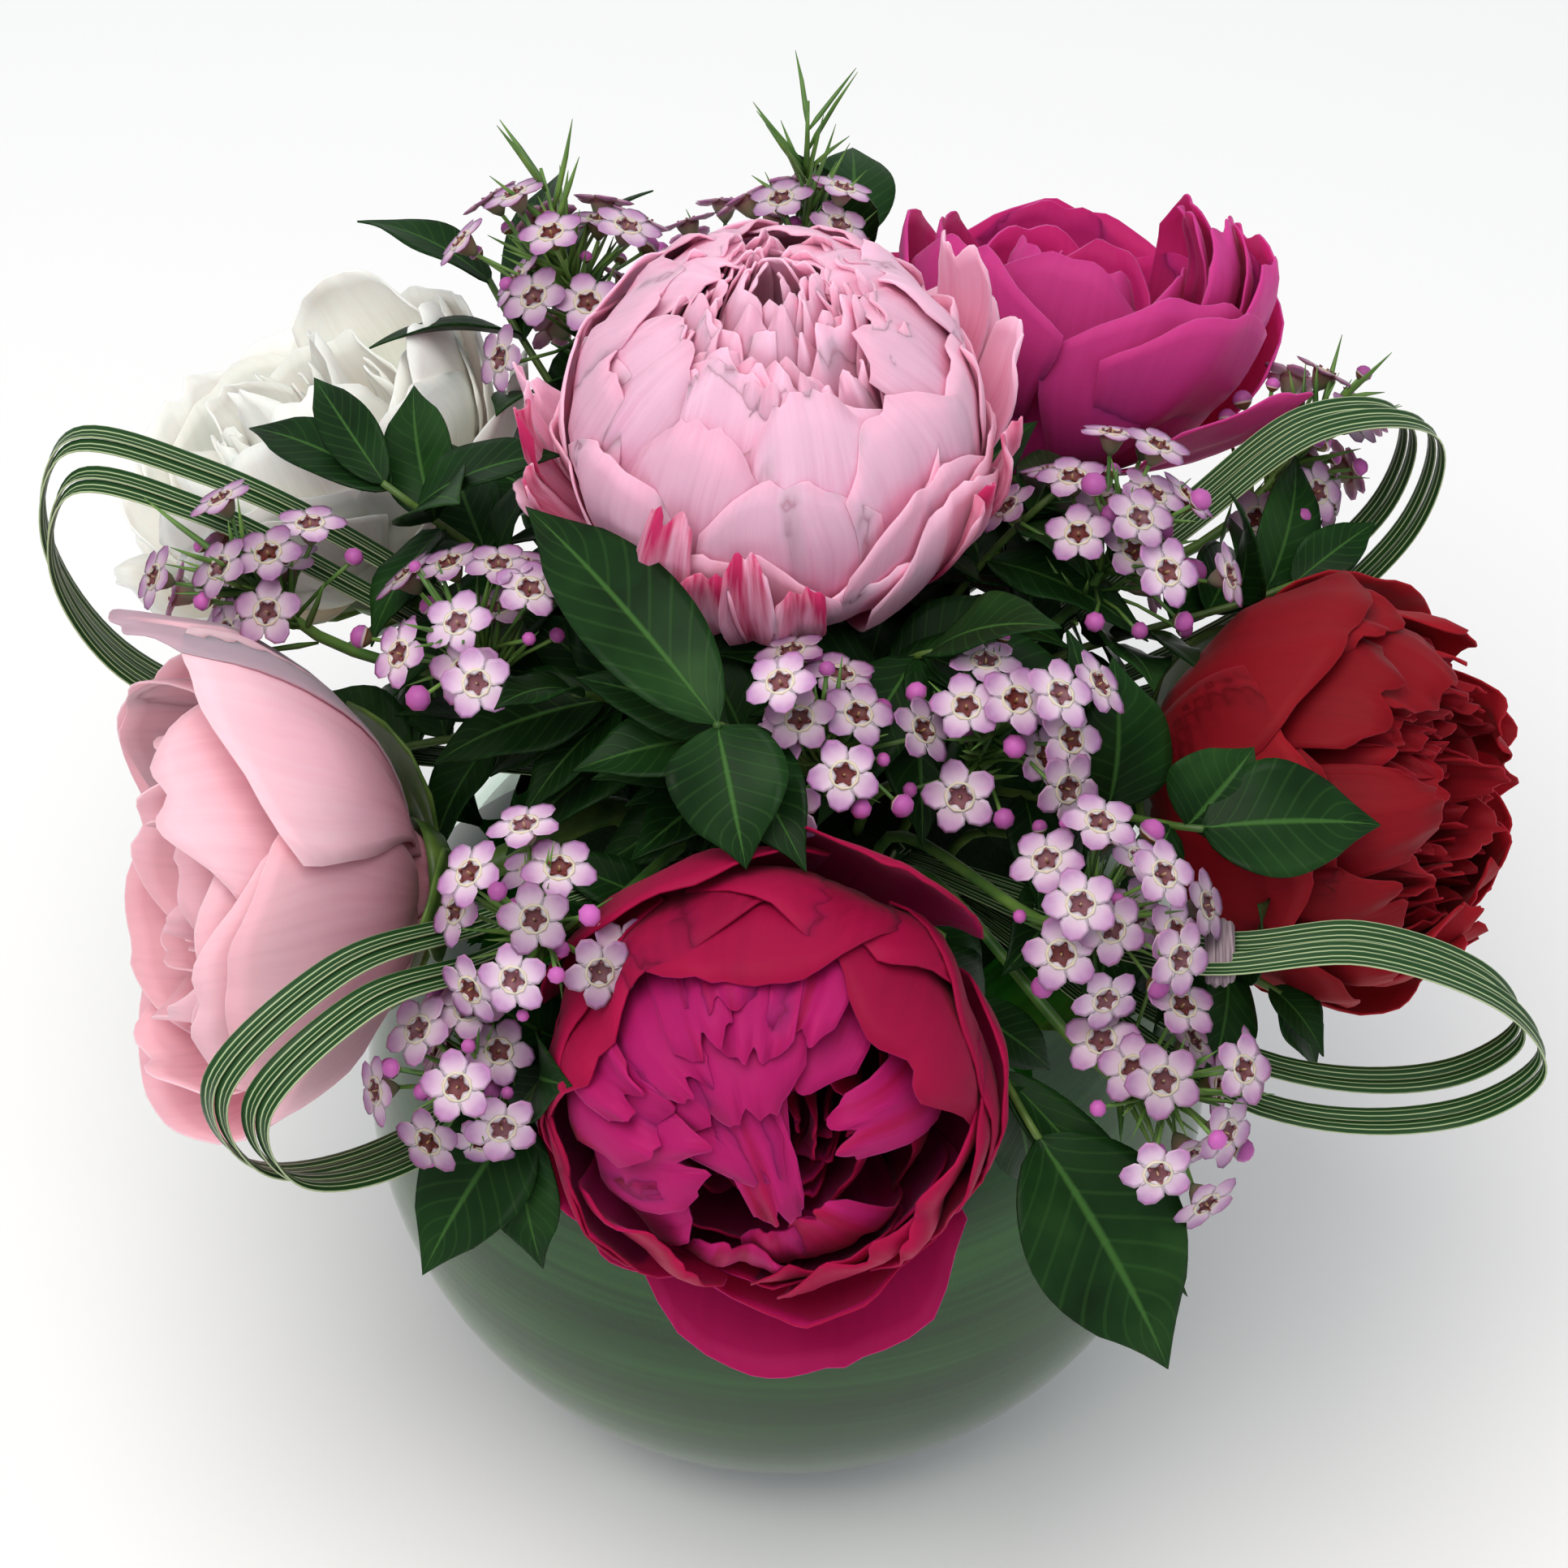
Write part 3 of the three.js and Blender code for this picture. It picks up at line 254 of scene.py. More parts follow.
def lining_leaf(name, first_segment, radius):
    """A leaf over eight fourteenths of the way round, from under the mouth to near the floor."""
    def place(across, along):
        turn = SEGMENT * (first_segment + 4 + 4 * across)
        edge = 0.012 * math.sin(9 * along + first_segment) * abs(across) ** 6
        polar = MOUTH_ANGLE + (FLOOR_ANGLE - MOUTH_ANGLE) * (0.97 * (1 - along) + 0.003)
        ring = radius * math.sin(polar)
        return Vector((ring * math.sin(turn + edge), ring * math.cos(turn + edge),
                       BOWL_CENTRE_Z + radius * math.cos(polar)))
    leaf = shaped_sheet(name, 72, 30, place)
    finish_with(leaf, "SOLIDIFY", thickness=LINING_THICKNESS * MM, offset=1)
    leaf.data.shade_smooth()
    return leaf


# Aspidistra leaf, satin: the veins lie about 2 mm apart and are drawn a little stronger.
lining_green, shader = new_material("satin_aspidistra_leaf", {
    "Roughness": 0.6, "Specular IOR Level": 0.03,
})
leaf_map = add_node(lining_green, "UVMap")
veins = add_node(lining_green, "Mapping", {"Scale": (1.2, 34.0, 1.0)}, {"Vector": (leaf_map, "UV")})
fine_veins = add_node(lining_green, "TexNoise", {"Scale": 2.2, "Detail": 1.0}, {"Vector": (veins, "Vector")})
broad = add_node(lining_green, "Mapping", {"Scale": (1.0, 5.0, 1.0)}, {"Vector": (leaf_map, "UV")})
broad_bands = add_node(lining_green, "TexNoise", {"Scale": 1.7, "Detail": 1.0}, {"Vector": (broad, "Vector")})
both = add_node(lining_green, "Math", {"operation": "MULTIPLY_ADD", 1: 0.4},
                {0: (fine_veins, "Fac"), 2: (broad_bands, "Fac")})
lining_ramp = add_node(lining_green, "ValToRGB", {"stops": [
    (0.45, linear("#0c4208")), (0.72, linear("#1a6212")), (0.95, linear("#388628"))]},
    {"Fac": (both, "Value")})
link(lining_green, lining_ramp, "Color", shader, "Base Color")
vein_bump = add_node(lining_green, "Bump", {"Strength": 0.1, "Distance": 0.0002},
                     {"Height": (fine_veins, "Fac")})
link(lining_green, vein_bump, "Normal", shader, "Normal")

for side, first_segment, radius in (("front", 3, LINING_RADIUS), ("back", -4, LINING_BEHIND)):
    leaf = lining_leaf(f"lining_{side}", first_segment, radius)
    leaf.data.materials.append(lining_green)
    ride_as(leaf, "lining_leaf", f"lining_leaf_{side}")


# ---- The floral foam -------------------------------------------------------------------------
# A ball of soaked phenolic foam, crumbly, with pores of about 1 mm and wetter patches 25 mm wide.
# Its greens are drawn darker than soaked foam is, almost black, as painted shade where it shows
# deep between the stems. The CAD node is kept, because its shape and its stem holes are right.

foam_with_painted_shade, shader = new_material("soaked_floral_foam", {"Roughness": 0.95, "Specular IOR Level": 0.2})
place_on_foam = add_node(foam_with_painted_shade, "TexCoord")
pores = add_node(foam_with_painted_shade, "TexNoise", {"Scale": 900.0, "Detail": 4.0}, {"Vector": (place_on_foam, "Object")})
wet_patches = add_node(foam_with_painted_shade, "TexNoise", {"Scale": 40.0}, {"Vector": (place_on_foam, "Object")})
foam_tone = add_node(foam_with_painted_shade, "Math", {"operation": "MULTIPLY_ADD", 1: 0.6},
                     {0: (pores, "Fac"), 2: (wet_patches, "Fac")})
# Near-black greens: painted shade for the foam deep among the stems; the wetter patches are its own.
foam_ramp = add_node(foam_with_painted_shade, "ValToRGB", {"stops": [
    (0.55, linear("#0c1c0b")), (1.0, linear("#1f3a1c"))]}, {"Fac": (foam_tone, "Value")})
link(foam_with_painted_shade, foam_ramp, "Color", shader, "Base Color")
pore_bump = add_node(foam_with_painted_shade, "Bump", {"Strength": 0.8, "Distance": 0.0006}, {"Height": (pores, "Fac")})
link(foam_with_painted_shade, pore_bump, "Normal", shader, "Normal")
foam_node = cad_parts["floral_foam"]
foam_node.data.materials.clear()
foam_node.data.materials.append(foam_with_painted_shade)


# ---- The peony blooms ------------------------------------------------------------------------
# Six garden peonies. Each is a spiral of cupped petals nested round a small core, with single
# guard petals outside. The petals in between and the small ragged ones at the heart are only
# here. Petals are 0.5 mm thick, smooth, with a faint sheen and fine lengthwise veins.

GOLDEN_ANGLE = 137.508
PETAL_THICKNESS = 0.5
OUTER_DROP = 5
PETAL_COLUMNS = 18
PETAL_ROWS = 14
SMALLEST_HEART_RADIUS = 4

# Shares of a petal's length: where it starts, where it is widest and where its rim begins. Then
# shares of its half width, for the notch in its rim and the crease down its middle, and the size
# of the dents that crumple it, in millimetres.
PETAL_START = 0.06
WIDEST_AT = 0.72
RIM_FROM = 0.62
NOTCH_WIDTH = 0.22
CREASE_WIDTH = 0.18
DENT_SIZE = 17

# Lengths are in millimetres and angles in degrees. centre and face are the ball's middle and the
# way its open side looks. A petal is set by its azimuth, the radius of the ball it lies on, the
# polar angle at which it closes, half its width as an angle, and how far its rim flares out:
# radius, close, half and flare run from the innermost petal to the outermost, and guards, the
# outer ones, are given as azimuth, radius, close, half, flare.
# between: how many overlapping petals are added, and their close, radius and half from the
# outermost to the innermost. lean: the azimuth where they close less, and by how much. folds are
# petals set one by one, given as the guards are, and how much of the mark colour they have. heart is
# how many short ones stand in the middle, spread over a disc, wide their least half width and
# what is drawn on top of it, tuck how much more the innermost close, and hollow how far the
# middle is sunk. ragged, ruffle and crumple say how uneven the petals are.
PEONIES = [
    dict(name="blush", centre=(-3, 9, 277), face=(0, -0.2, 0.98), petals=14, half_height=43,
         radius=(11, 43), close=(152, 132), half=(78, 46), flare=(0, 1), seed=11,
         guards=[(38, 46, 98, 20, 10), (68, 46, 92, 14, 8), (192, 46, 84, 13, 10),
                 (165, 46, 90, 11, 6), (325, 46, 108, 28, 2)],
         between=(30, (84, 170), (46.6, 40), (31, 19)), lean=(90, 4),
         folds=[(242, 48, 116, 8, 1, 1), (264, 48.6, 106, 7, 1, 1), (254, 47.8, 99, 8, 1, 1),
                (276, 48.2, 96, 7, 1, 1), (330, 48, 100, 9, 2, 1), (351, 48.5, 101, 8, 2, 1),
                (14, 47.5, 108, 12, 8, 0), (37, 47.5, 122, 11, 9, 0), (186, 48, 104, 7, 5, 1),
                (172, 48, 98, 6, 6, 0), (198, 48.5, 96, 7, 5, 1)],
         heart=40, wide=(10, 6), tuck=46, ragged=0.02, ruffle=1.4, crumple=1.8, spread=26,
         hollow=-5),
    dict(name="fuchsia", centre=(-4, -111, 200), face=(-0.04, -0.9, 0.42), petals=13, half_height=42,
         radius=(11, 44), close=(128, 118), half=(70, 46), flare=(0, 2), seed=23,
         guards=[(62, 48, 108, 24, 13), (278, 50, 92, 42, 17), (222, 47.5, 100, 34, 3),
                 (120, 47.5, 104, 44, 4), (352, 47.5, 104, 36, 1)],
         between=(7, (104, 124), (46.6, 45), (44, 34)),
         folds=[(98, 45, 129, 42, 0, 0), (38, 43.6, 136, 38, 0, 0), (152, 44.2, 126, 36, 0, 0),
                (104, 38.5, 170, 21, 0, 1.6), (138, 37.5, 163, 22, 0, 1.6), (166, 39.5, 150, 22, 0, 1.6),
                (72, 36, 158, 20, 0, 1.6), (122, 34.5, 186, 13, 0, 1.6), (92, 33, 192, 11, 0, 1.2),
                (112, 36, 206, 12, 0, 1.4), (150, 34.5, 186, 15, 0, 1.5), (188, 37, 166, 20, 0, 1.5),
                (212, 36, 148, 22, 0, 1.2), (18, 36, 158, 15, 0, 1.2), (232, 41, 134, 26, 0, 0.8),
                (310, 41, 139, 32, 0, 0.6), (334, 42.5, 131, 32, 0, 0.4), (292, 38, 134, 24, 0, 0.8),
                (262, 36, 142, 20, 0, 1.0), (284, 34, 152, 17, 0, 1.0), (308, 35, 156, 15, 0, 0.9),
                (94, 40.2, 152, 12, 0, 1.6), (116, 40.8, 147, 12, 0, 1.6), (76, 40.6, 144, 12, 0, 1.4),
                (134, 40.2, 154, 11, 0, 1.5), (106, 41.6, 137, 12, 0, 1.2), (158, 41, 140, 12, 0, 1.4)],
         heart=16, ragged=0.02, ruffle=1.1, crumple=2.4, spread=16, hollow=6),
    dict(name="shell", centre=(-127, -53, 199), face=(-0.93, -0.28, 0.22), petals=10, half_height=43,
         radius=(12, 42), close=(124, 108), half=(72, 56), flare=(0, 5), seed=37,
         guards=[(95, 49, 106, 46, 11), (20, 48, 102, 48, 3), (270, 49, 104, 50, 9),
                 (180, 48, 98, 46, 8), (330, 49, 88, 38, 5)],
         between=(4, (100, 112), (46, 43), (44, 34)), folds=[(118, 52, 112, 21, 11, 1.6)],
         heart=5, ragged=0.008, ruffle=0.8, crumple=1.6, spread=12, hollow=17),
    dict(name="crimson", centre=(125, -25, 200), face=(0.83, -0.4, 0.38), petals=11, half_height=41,
         radius=(10, 41), close=(132, 112), half=(70, 50), flare=(0, 3), seed=41,
         guards=[(150, 45.5, 112, 44, 1), (90, 45, 114, 44, 2), (260, 45.5, 106, 42, 4),
                 (205, 45, 108, 38, 3), (15, 45.5, 100, 36, 6)],
         between=(16, (104, 150), (44, 36), (30, 16)),
         heart=38, ragged=0.03, ruffle=1.8, crumple=2.6, spread=26, hollow=0),
    dict(name="magenta", centre=(70, 103, 243), face=(0.22, 0.42, 0.88), petals=11, half_height=42,
         radius=(11, 42), close=(126, 106), half=(70, 50), flare=(0, 3), seed=53,
         guards=[(340, 47, 80, 28, 15), (165, 47, 86, 22, 17), (240, 46.5, 104, 50, 2),
                 (300, 46.5, 104, 40, 2)],
         between=(5, (96, 110), (45, 42), (42, 32)),
         folds=[(192, 43, 112, 30, 0, 0), (226, 42, 117, 30, 0, 0), (208, 37, 126, 30, 0, 0),
                (184, 34, 130, 24, 0, 0), (234, 32, 134, 26, 0, 0), (208, 28, 142, 26, 0, 0)],
         heart=5, ragged=0.008, ruffle=0.9, crumple=2.0, spread=12, hollow=20),
    dict(name="white", centre=(-113, 75, 221), face=(-0.46, 0.2, 0.86), petals=10, half_height=39,
         radius=(11, 42), close=(124, 102), half=(70, 52), flare=(0, 7), seed=61,
         guards=[(200, 47, 82, 42, 14), (260, 46.5, 86, 44, 12), (320, 47, 86, 40, 10),
                 (100, 47, 88, 44, 11)],
         between=(10, (92, 126), (45, 40), (38, 26)),
         heart=16, ragged=0.014, ruffle=2.0, crumple=3.0, spread=18, hollow=6),
]

# Each bloom's colours: the outside of a petal at its root, middle and rim, then the inside, then
# the colour that marked petals are flamed or washed with. The inside colours hold painted light
# and shade: for shell, crimson, magenta and white they are darker than the outside, as painted
# shade inside the cupped bloom, and for blush they are pinker and lighter, partly the petal's own
# colour and partly painted light in the hollow of its heart.
PETAL_COLOURS = {
    "blush": (("#e05c8c", "#ea86b0", "#f6b6d0"), ("#f04480", "#f680ae", "#fcbcd4"), "#b42c60"),
    "fuchsia": (("#54001a", "#82042c", "#960a3c"), ("#54001e", "#860a44", "#a01458"), "#a81862"),
    "shell": (("#e47c94", "#f3a2b6", "#f8bcc8"), ("#b05668", "#d07e92", "#edb2bd"), "#b098a4"),
    "crimson": (("#4e040c", "#740610", "#86101c"), ("#2a0206", "#5c060e", "#7a101a"), "#400810"),
    "magenta": (("#9a1458", "#be2c7e", "#c83c8a"), ("#7c0636", "#a0124e", "#bc2470"), "#7c0636"),
    "white": (("#eae2c2", "#f6f1e2", "#fcfaf4"), ("#e6dfbc", "#f2eddc", "#faf8f0"), "#e8dcaa"),
}


def seeded_draw(seed):
    """A repeatable stream of numbers from 0 to 1."""
    state = seed

    def draw():
        nonlocal state
        state = (state * 1664525 + 1013904223) % 4294967296
        return state / 4294967296
    return draw


# Without a seed of its own, noise_vector crumples the petals differently in each run.
noise.seed_set(3)


def mix(ends, share):
    """The value that far from the first of two ends to the second."""
    return ends[0] + (ends[1] - ends[0]) * share


def petal_shape(petal, half_height):
    """Where a point of a petal goes, in its flower's own frame, whose +Z is the flower's face."""
    phase = petal["phase"]

    def place(across, along_grid):
        torn = (noise.noise(Vector((3 * across, phase, 0)))
                + 0.6 * noise.noise(Vector((9 * across, phase, 5))))
        notch = petal["notch"] * math.exp(-(across / NOTCH_WIDTH) ** 2)
        rim = petal["close"] * (1 - petal["round"] * abs(across) ** 2.2 - notch + petal["ragged"] * torn)
        polar = (PETAL_START + (1 - PETAL_START) * along_grid) * rim
        along = polar / petal["close"]
        if along < WIDEST_AT:
            spread = 0.3 + 0.7 * math.sin(along / WIDEST_AT * math.pi / 2)
        else:
            spread = 1 - 0.3 * ((along - WIDEST_AT) / (1 - WIDEST_AT)) ** 2
        turn = petal["half"] * spread * across
        edge = max(along - RIM_FROM, 0) / (1 - RIM_FROM)
        crease = petal["crease"] * math.exp(-(across / CREASE_WIDTH) ** 2)
        lift = (petal["ruffle"] * math.sin(petal["waves"] * across + phase) * along ** 2
                + petal["crinkle"] * math.sin(2.7 * petal["waves"] * across + 3 * phase) * edge ** 2
                - crease * math.sin(math.pi * min(along, 1)) ** 0.5
                + petal["curl"] * edge ** 2)
        reach = petal["radius"] * math.sin(polar) + petal["flare"] * along ** 3 + lift * math.sin(polar)
        height = half_height * (1 - math.cos(polar)) - petal["drop"] - lift * math.cos(polar)
        if petal.get("hooded"):
            # As wide over the middle of the flower as it is at the ball's side.
            turn *= math.sin(polar) if polar < math.pi / 2 else 1
            rise = (petal["height"] + lift) * math.cos(polar) * math.cos(turn)
            point = Vector((reach * math.cos(turn), petal["radius"] * math.sin(turn),
                            half_height - petal["drop"] - rise))
        else:
            point = Vector((reach * math.cos(turn), reach * math.sin(turn), height))
        point.rotate(Euler((0, 0, petal["azimuth"])))
        # Crumpling is the same for neighbours, so it doesn't push one petal through the next.
        return point + noise.noise_vector(point / DENT_SIZE) * petal["crumple"] * min(along * 1.5, 1)
    return place


def spiral_petals(peony):
    """The petals that the CAD blooms have, inner ones first, and then the guards."""
    draw = seeded_draw(peony["seed"])
    petals = []
    for i in range(peony["petals"]):
        share = i / (peony["petals"] - 1)
        petals.append(dict(
            azimuth=math.radians(i * GOLDEN_ANGLE + 14 * (draw() - 0.5)),
            radius=mix(peony["radius"], share),
            close=math.radians(mix(peony["close"], share) + 8 * (draw() - 0.5)),
            half=math.radians(mix(peony["half"], share)),
            flare=mix(peony["flare"], share ** 2),
            drop=OUTER_DROP * share + peony["hollow"] * (1 - share),
            round=0.2 + 0.08 * draw(),
            notch=0.02 + 0.02 * draw(),
            ruffle=0.5, waves=4 + 2 * draw(), phase=6 * draw(), depth=share))
    for azimuth, radius, close, half, flare in peony["guards"]:
        petals.append(dict(
            azimuth=math.radians(azimuth), radius=radius, close=math.radians(close),
            half=math.radians(half), flare=flare, drop=OUTER_DROP + 1, round=0.24,
            notch=0.01 + 0.02 * draw(), ruffle=0.8, waves=3 + 2 * draw(), phase=6 * draw(), depth=1.0))
    return petals


def added_petals(peony):
    """Overlapping petals outside the spiral, those listed one by one, and short ones in the heart."""
    draw = seeded_draw(peony["seed"] + 500)
    petals = []
    count, closes, radii, halves = peony["between"]
    lean_to, lean_by = peony.get("lean", (0, 0))
    for i in range(count):
        share = (i + 0.5) / count
        azimuth = i * GOLDEN_ANGLE + 30 * draw()
        close = mix(closes, share) + 8 * (draw() - 0.5)
        close -= lean_by * share * max(math.cos(math.radians(azimuth - lean_to)), 0)
        petals.append(dict(
            azimuth=math.radians(azimuth), radius=mix(radii, share), close=math.radians(close),
            half=math.radians(mix(halves, share) * (0.85 + 0.3 * draw())),
            flare=0, drop=1, notch=0.02 + 0.05 * draw(), ruffle=peony["ruffle"], waves=2 + 3 * draw(),
            phase=6 * draw(), depth=1 - share, hooded=True))
    for azimuth, radius, close, half, flare, mark in peony.get("folds", ()):
        petals.append(dict(
            azimuth=math.radians(azimuth), radius=radius, close=math.radians(close),
            half=math.radians(half), flare=flare, drop=1, notch=0.02 + 0.05 * draw(),
            ruffle=1.2 * peony["ruffle"], waves=2 + 3 * draw(), phase=6 * draw(), depth=0.3,
            hooded=True, marked=mark))
    narrowest, widening = peony.get("wide", (7, 4))
    tuck = peony.get("tuck", 0)
    for i in range(peony["heart"]):
        share = math.sqrt((i + 0.5) / peony["heart"])
        radius = SMALLEST_HEART_RADIUS + peony["spread"] * share
        azimuth = i * GOLDEN_ANGLE + 30 * draw()
        close = mix(peony["close"], 0.5 * share) + 2 - 16 * draw() + tuck * (1 - share) ** 2
        petals.append(dict(
            azimuth=math.radians(azimuth), radius=radius, close=math.radians(close),
            half=math.asin(min(0.95, (narrowest + widening * draw()) / (radius + 2))),
            flare=2 * draw(), drop=2 + peony["hollow"], notch=0.04 + 0.08 * draw(),
            ruffle=peony["ruffle"], waves=4 + 3 * draw(), phase=6 * draw(), depth=0.0, hooded=True))
    for petal in petals:
        petal["round"] = 0.7 * petal["half"] / petal["close"]
        standing = petal["depth"] == 0
        petal["height"] = peony["half_height"] * (1 if standing else petal["radius"] / 46)
    return petals


def all_petals(peony):
    """Every petal of a bloom, with its own crease, curl and tone."""
    draw = seeded_draw(peony["seed"] + 900)
    petals = spiral_petals(peony) + added_petals(peony)
    for petal in petals:
        petal.update(ragged=peony["ragged"], crumple=peony["crumple"], crinkle=0.4 * peony["ruffle"],
                     crease=0.5 + 0.7 * draw(), curl=2.2 * (draw() - 0.55), tone=draw())
    return petals


def give_numbers(piece, name, values):
    """Three numbers that a material reads at every point of a piece."""
    marks = piece.data.attributes.new(name, "FLOAT_VECTOR", "POINT")
    marks.data.foreach_set("vector", list(values) * len(piece.data.vertices))


def joined(name, pieces):
    """The pieces as one object of that name."""
    bpy.ops.object.select_all(action="DESELECT")
    for piece in pieces:
        piece.select_set(True)
    bpy.context.view_layer.objects.active = pieces[0]
    bpy.ops.object.join()
    pieces[0].name = name
    return pieces[0]


def frame_about(direction):
    """Two directions square to the given one: the first is level, the second leans up."""
    level = Vector((-direction.y, direction.x, 0))
    if level.length < 1e-3:
        level = Vector((1, 0, 0))
    level.normalize()
    return level, direction.cross(level).normalized()


def flower_matrix(centre, face, half_height):
    """Takes a flower's own frame, in metres, to its place. Its base is on the bloom's far side."""
    level, rise = frame_about(face)
    base = (centre - face * half_height) * MM
    return Matrix.Translation(base) @ Matrix((level, rise, face)).transposed().to_4x4()


def petal_material(name, side, colours, mark_colour):
    """Peony petal, soft and slightly translucent: the root, middle and rim differ, each petal has
    its own tone, and fine veins run along it. Flames of deep colour mark some petals."""
    material, shader = new_material(f"{name}_petal_{side}", {
        "Roughness": 0.6, "Specular IOR Level": 0.1, "Sheen Weight": 0.03, "Sheen Roughness": 0.4,
        "Subsurface Weight": 0.5, "Subsurface Scale": 0.003, "Subsurface Radius": (1.0, 0.6, 0.6),
    })
    petal_map = add_node(material, "UVMap")
    marks = add_node(material, "Attribute", {"attribute_name": "petal"})
    parts = add_node(material, "SeparateXYZ", links={"Vector": (marks, "Vector")})
    position = add_node(material, "SeparateXYZ", links={"Vector": (petal_map, "UV")})
    stretched = add_node(material, "Mapping", {"Scale": (30.0, 1.6, 1.0)}, {"Vector": (petal_map, "UV")})
    shifted = add_node(material, "VectorMath", {"operation": "ADD"},
                       {0: (stretched, "Vector"), 1: (marks, "Vector")})
    veins = add_node(material, "TexNoise", {"Scale": 1.0, "Detail": 3.0}, {"Vector": (shifted, "Vector")})
    lengthwise = add_node(material, "Mapping", {"Scale": (2.8, 1.5, 1.0)}, {"Vector": (petal_map, "UV")})
    elsewhere = add_node(material, "VectorMath", {"operation": "MULTIPLY_ADD", 1: (9.0, 9.0, 9.0)},
                         {0: (marks, "Vector"), 2: (lengthwise, "Vector")})
    blotches = add_node(material, "TexNoise", {"Scale": 1.0, "Detail": 3.0},
                        {"Vector": (elsewhere, "Vector")})
    wander = add_node(material, "Math", {"operation": "MULTIPLY_ADD", 1: 0.22},
                      {0: (veins, "Fac"), 2: (position, "Y")})
    ramp = add_node(material, "ValToRGB", {"stops": [
        (0.12, linear(colours[0])), (0.55, linear(colours[1])), (1.02, linear(colours[2]))]},
        {"Fac": (wander, "Value")})
    tone = add_node(material, "MapRange", {"From Min": 0.0, "From Max": 1.0, "To Min": 0.82, "To Max": 1.1},
                    {"Value": (parts, "X")})
    vein_tone = add_node(material, "MapRange",
                         {"From Min": 0.3, "From Max": 0.7, "To Min": 0.96, "To Max": 1.03},
                         {"Value": (veins, "Fac")})
    whole_tone = add_node(material, "Math", {"operation": "MULTIPLY"},
                          {0: (tone, "Result"), 1: (vein_tone, "Result")})
    toned = add_node(material, "VectorMath", {"operation": "SCALE"},
                     {0: (ramp, "Color"), "Scale": (whole_tone, "Value")})
    flame_edge = add_node(material, "Math", {"operation": "MULTIPLY"},
                          {0: (blotches, "Fac"), 1: (parts, "Z")})
    flame_mask = add_node(material, "MapRange", {"From Min": 0.4, "From Max": 0.6},
                          {"Value": (flame_edge, "Value")})
    flamed = add_node(material, "Mix", {"data_type": "RGBA", 7: linear(mark_colour)},
                      {0: (flame_mask, "Result"), 6: (toned, "Vector")})
    link(material, flamed, 2, shader, "Base Color")
    bump = add_node(material, "Bump", {"Strength": 0.16, "Distance": 0.0004}, {"Height": (veins, "Fac")})
    link(material, bump, "Normal", shader, "Normal")
    return material


def peony_bloom(peony):
    """One bloom, petal by petal, brought to its place, with its inside and outside colours."""
    face = Vector(peony["face"]).normalized()
    place_it = flower_matrix(Vector(peony["centre"]), face, peony["half_height"])
    sheets = []
    for petal in all_petals(peony):
        sheet = shaped_sheet("petal", PETAL_COLUMNS, PETAL_ROWS, petal_shape(petal, peony["half_height"]))
        give_numbers(sheet, "petal", (petal["tone"], petal["depth"], petal.get("marked", 0.0)))
        sheets.append(sheet)
    bloom = joined(f"{peony['name']}_bloom", sheets)
    *faces, mark_colour = PETAL_COLOURS[peony["name"]]
    # Inner faces take the inside colours, which hold painted shade for most blooms and painted light for
    # blush.
    for side, colours in zip(("outside", "inside"), faces):
        bloom.data.materials.append(petal_material(peony["name"], side, colours, mark_colour))
    finish_with(bloom, "SOLIDIFY", thickness=PETAL_THICKNESS * MM, offset=-1, material_offset=1)
    bloom.data.transform(place_it)
    bloom.data.shade_smooth()
    return bloom


for peony in PEONIES:
    bloom = peony_bloom(peony)
    ride_as(bloom, f"{peony['name']}_petals", f"peony_{peony['name']}")


# ---- Water drops -----------------------------------------------------------------------------
# A few clear drops, 1.6 to 3 mm across, left on the blush peony's loose outer petals.

# Which of its petals each lies on, how far across and along it, and the drop's radius.
DROPS = [(14, 0.25, 0.84, 1.5), (14, -0.2, 0.72, 1.1), (14, -0.5, 0.9, 0.8), (15, 0.1, 0.85, 1.0),
         (18, 0.3, 0.8, 1.2), (18, -0.3, 0.66, 0.9)]
DROP_FLATNESS = 0.55
DROP_STANDS_OUT = 0.75

# Water: perfectly smooth and clear, with the least trace of dust in it.
water = mottled("water_drop", {"Roughness": 0.0, "IOR": 1.333, "Transmission Weight": 1.0},
                0.667, 1.0, [(0.35, "#f4f8f8"), (0.55, "#ffffff")])


def water_drop(peony, petal, across, along, radius):
    """A drop that sits on the inner face of a petal, a little flattened."""
    shape = petal_shape(petal, peony["half_height"])
    spot = shape(across, along)
    to_side = shape(across + 0.02, along) - spot
    to_rim = shape(across, along + 0.02) - spot
    inwards = to_rim.cross(to_side).normalized()
    level, rise = frame_about(inwards)
    drop = primitive("uv_sphere", segments=20, ring_count=12, radius=1)
    for vertex in drop.data.vertices:
        x, y, z = vertex.co * radius
        height = PETAL_THICKNESS + DROP_FLATNESS * (z + DROP_STANDS_OUT * radius)
        vertex.co = (spot + level * x + rise * y + inwards * height) * MM
    face = Vector(peony["face"]).normalized()
    drop.data.transform(flower_matrix(Vector(peony["centre"]), face, peony["half_height"]))
    return drop


blush = PEONIES[0]
blush_petals = all_petals(blush)
drops = joined("water_drops", [water_drop(blush, blush_petals[i], *where) for i, *where in DROPS])
drops.data.materials.append(water)
drops.data.shade_smooth()
ride_as(drops, "glass")


# ---- The peony stems -------------------------------------------------------------------------
# Under each bloom: a small cup, three sepals and a smooth green stem, 6.4 mm thick, which bends
# over the foam's edge and stands 30 mm deep in it.

FOAM_NECK = 55
WIDEST_FOOTING = 50
FOAM_SHOULDER_Z = 163
FOAM_TOP_Z = 185
STEM_FOCUS = Vector((0, 0, 80))
STEM_DEPTH = 30
PEONY_STEM_RADIUS = 3.2
SEPAL_THICKNESS = 0.7

# The cup's heights and radii, from its foot over its rim to the middle of its hollow.
PEONY_CUP = [(-17, 0.4), (-15, 5.5), (-13, 9.4), (-9.5, 12), (-6.6, 13.2), (-8.8, 10), (-11, 7), (-12.2, 0.4)]


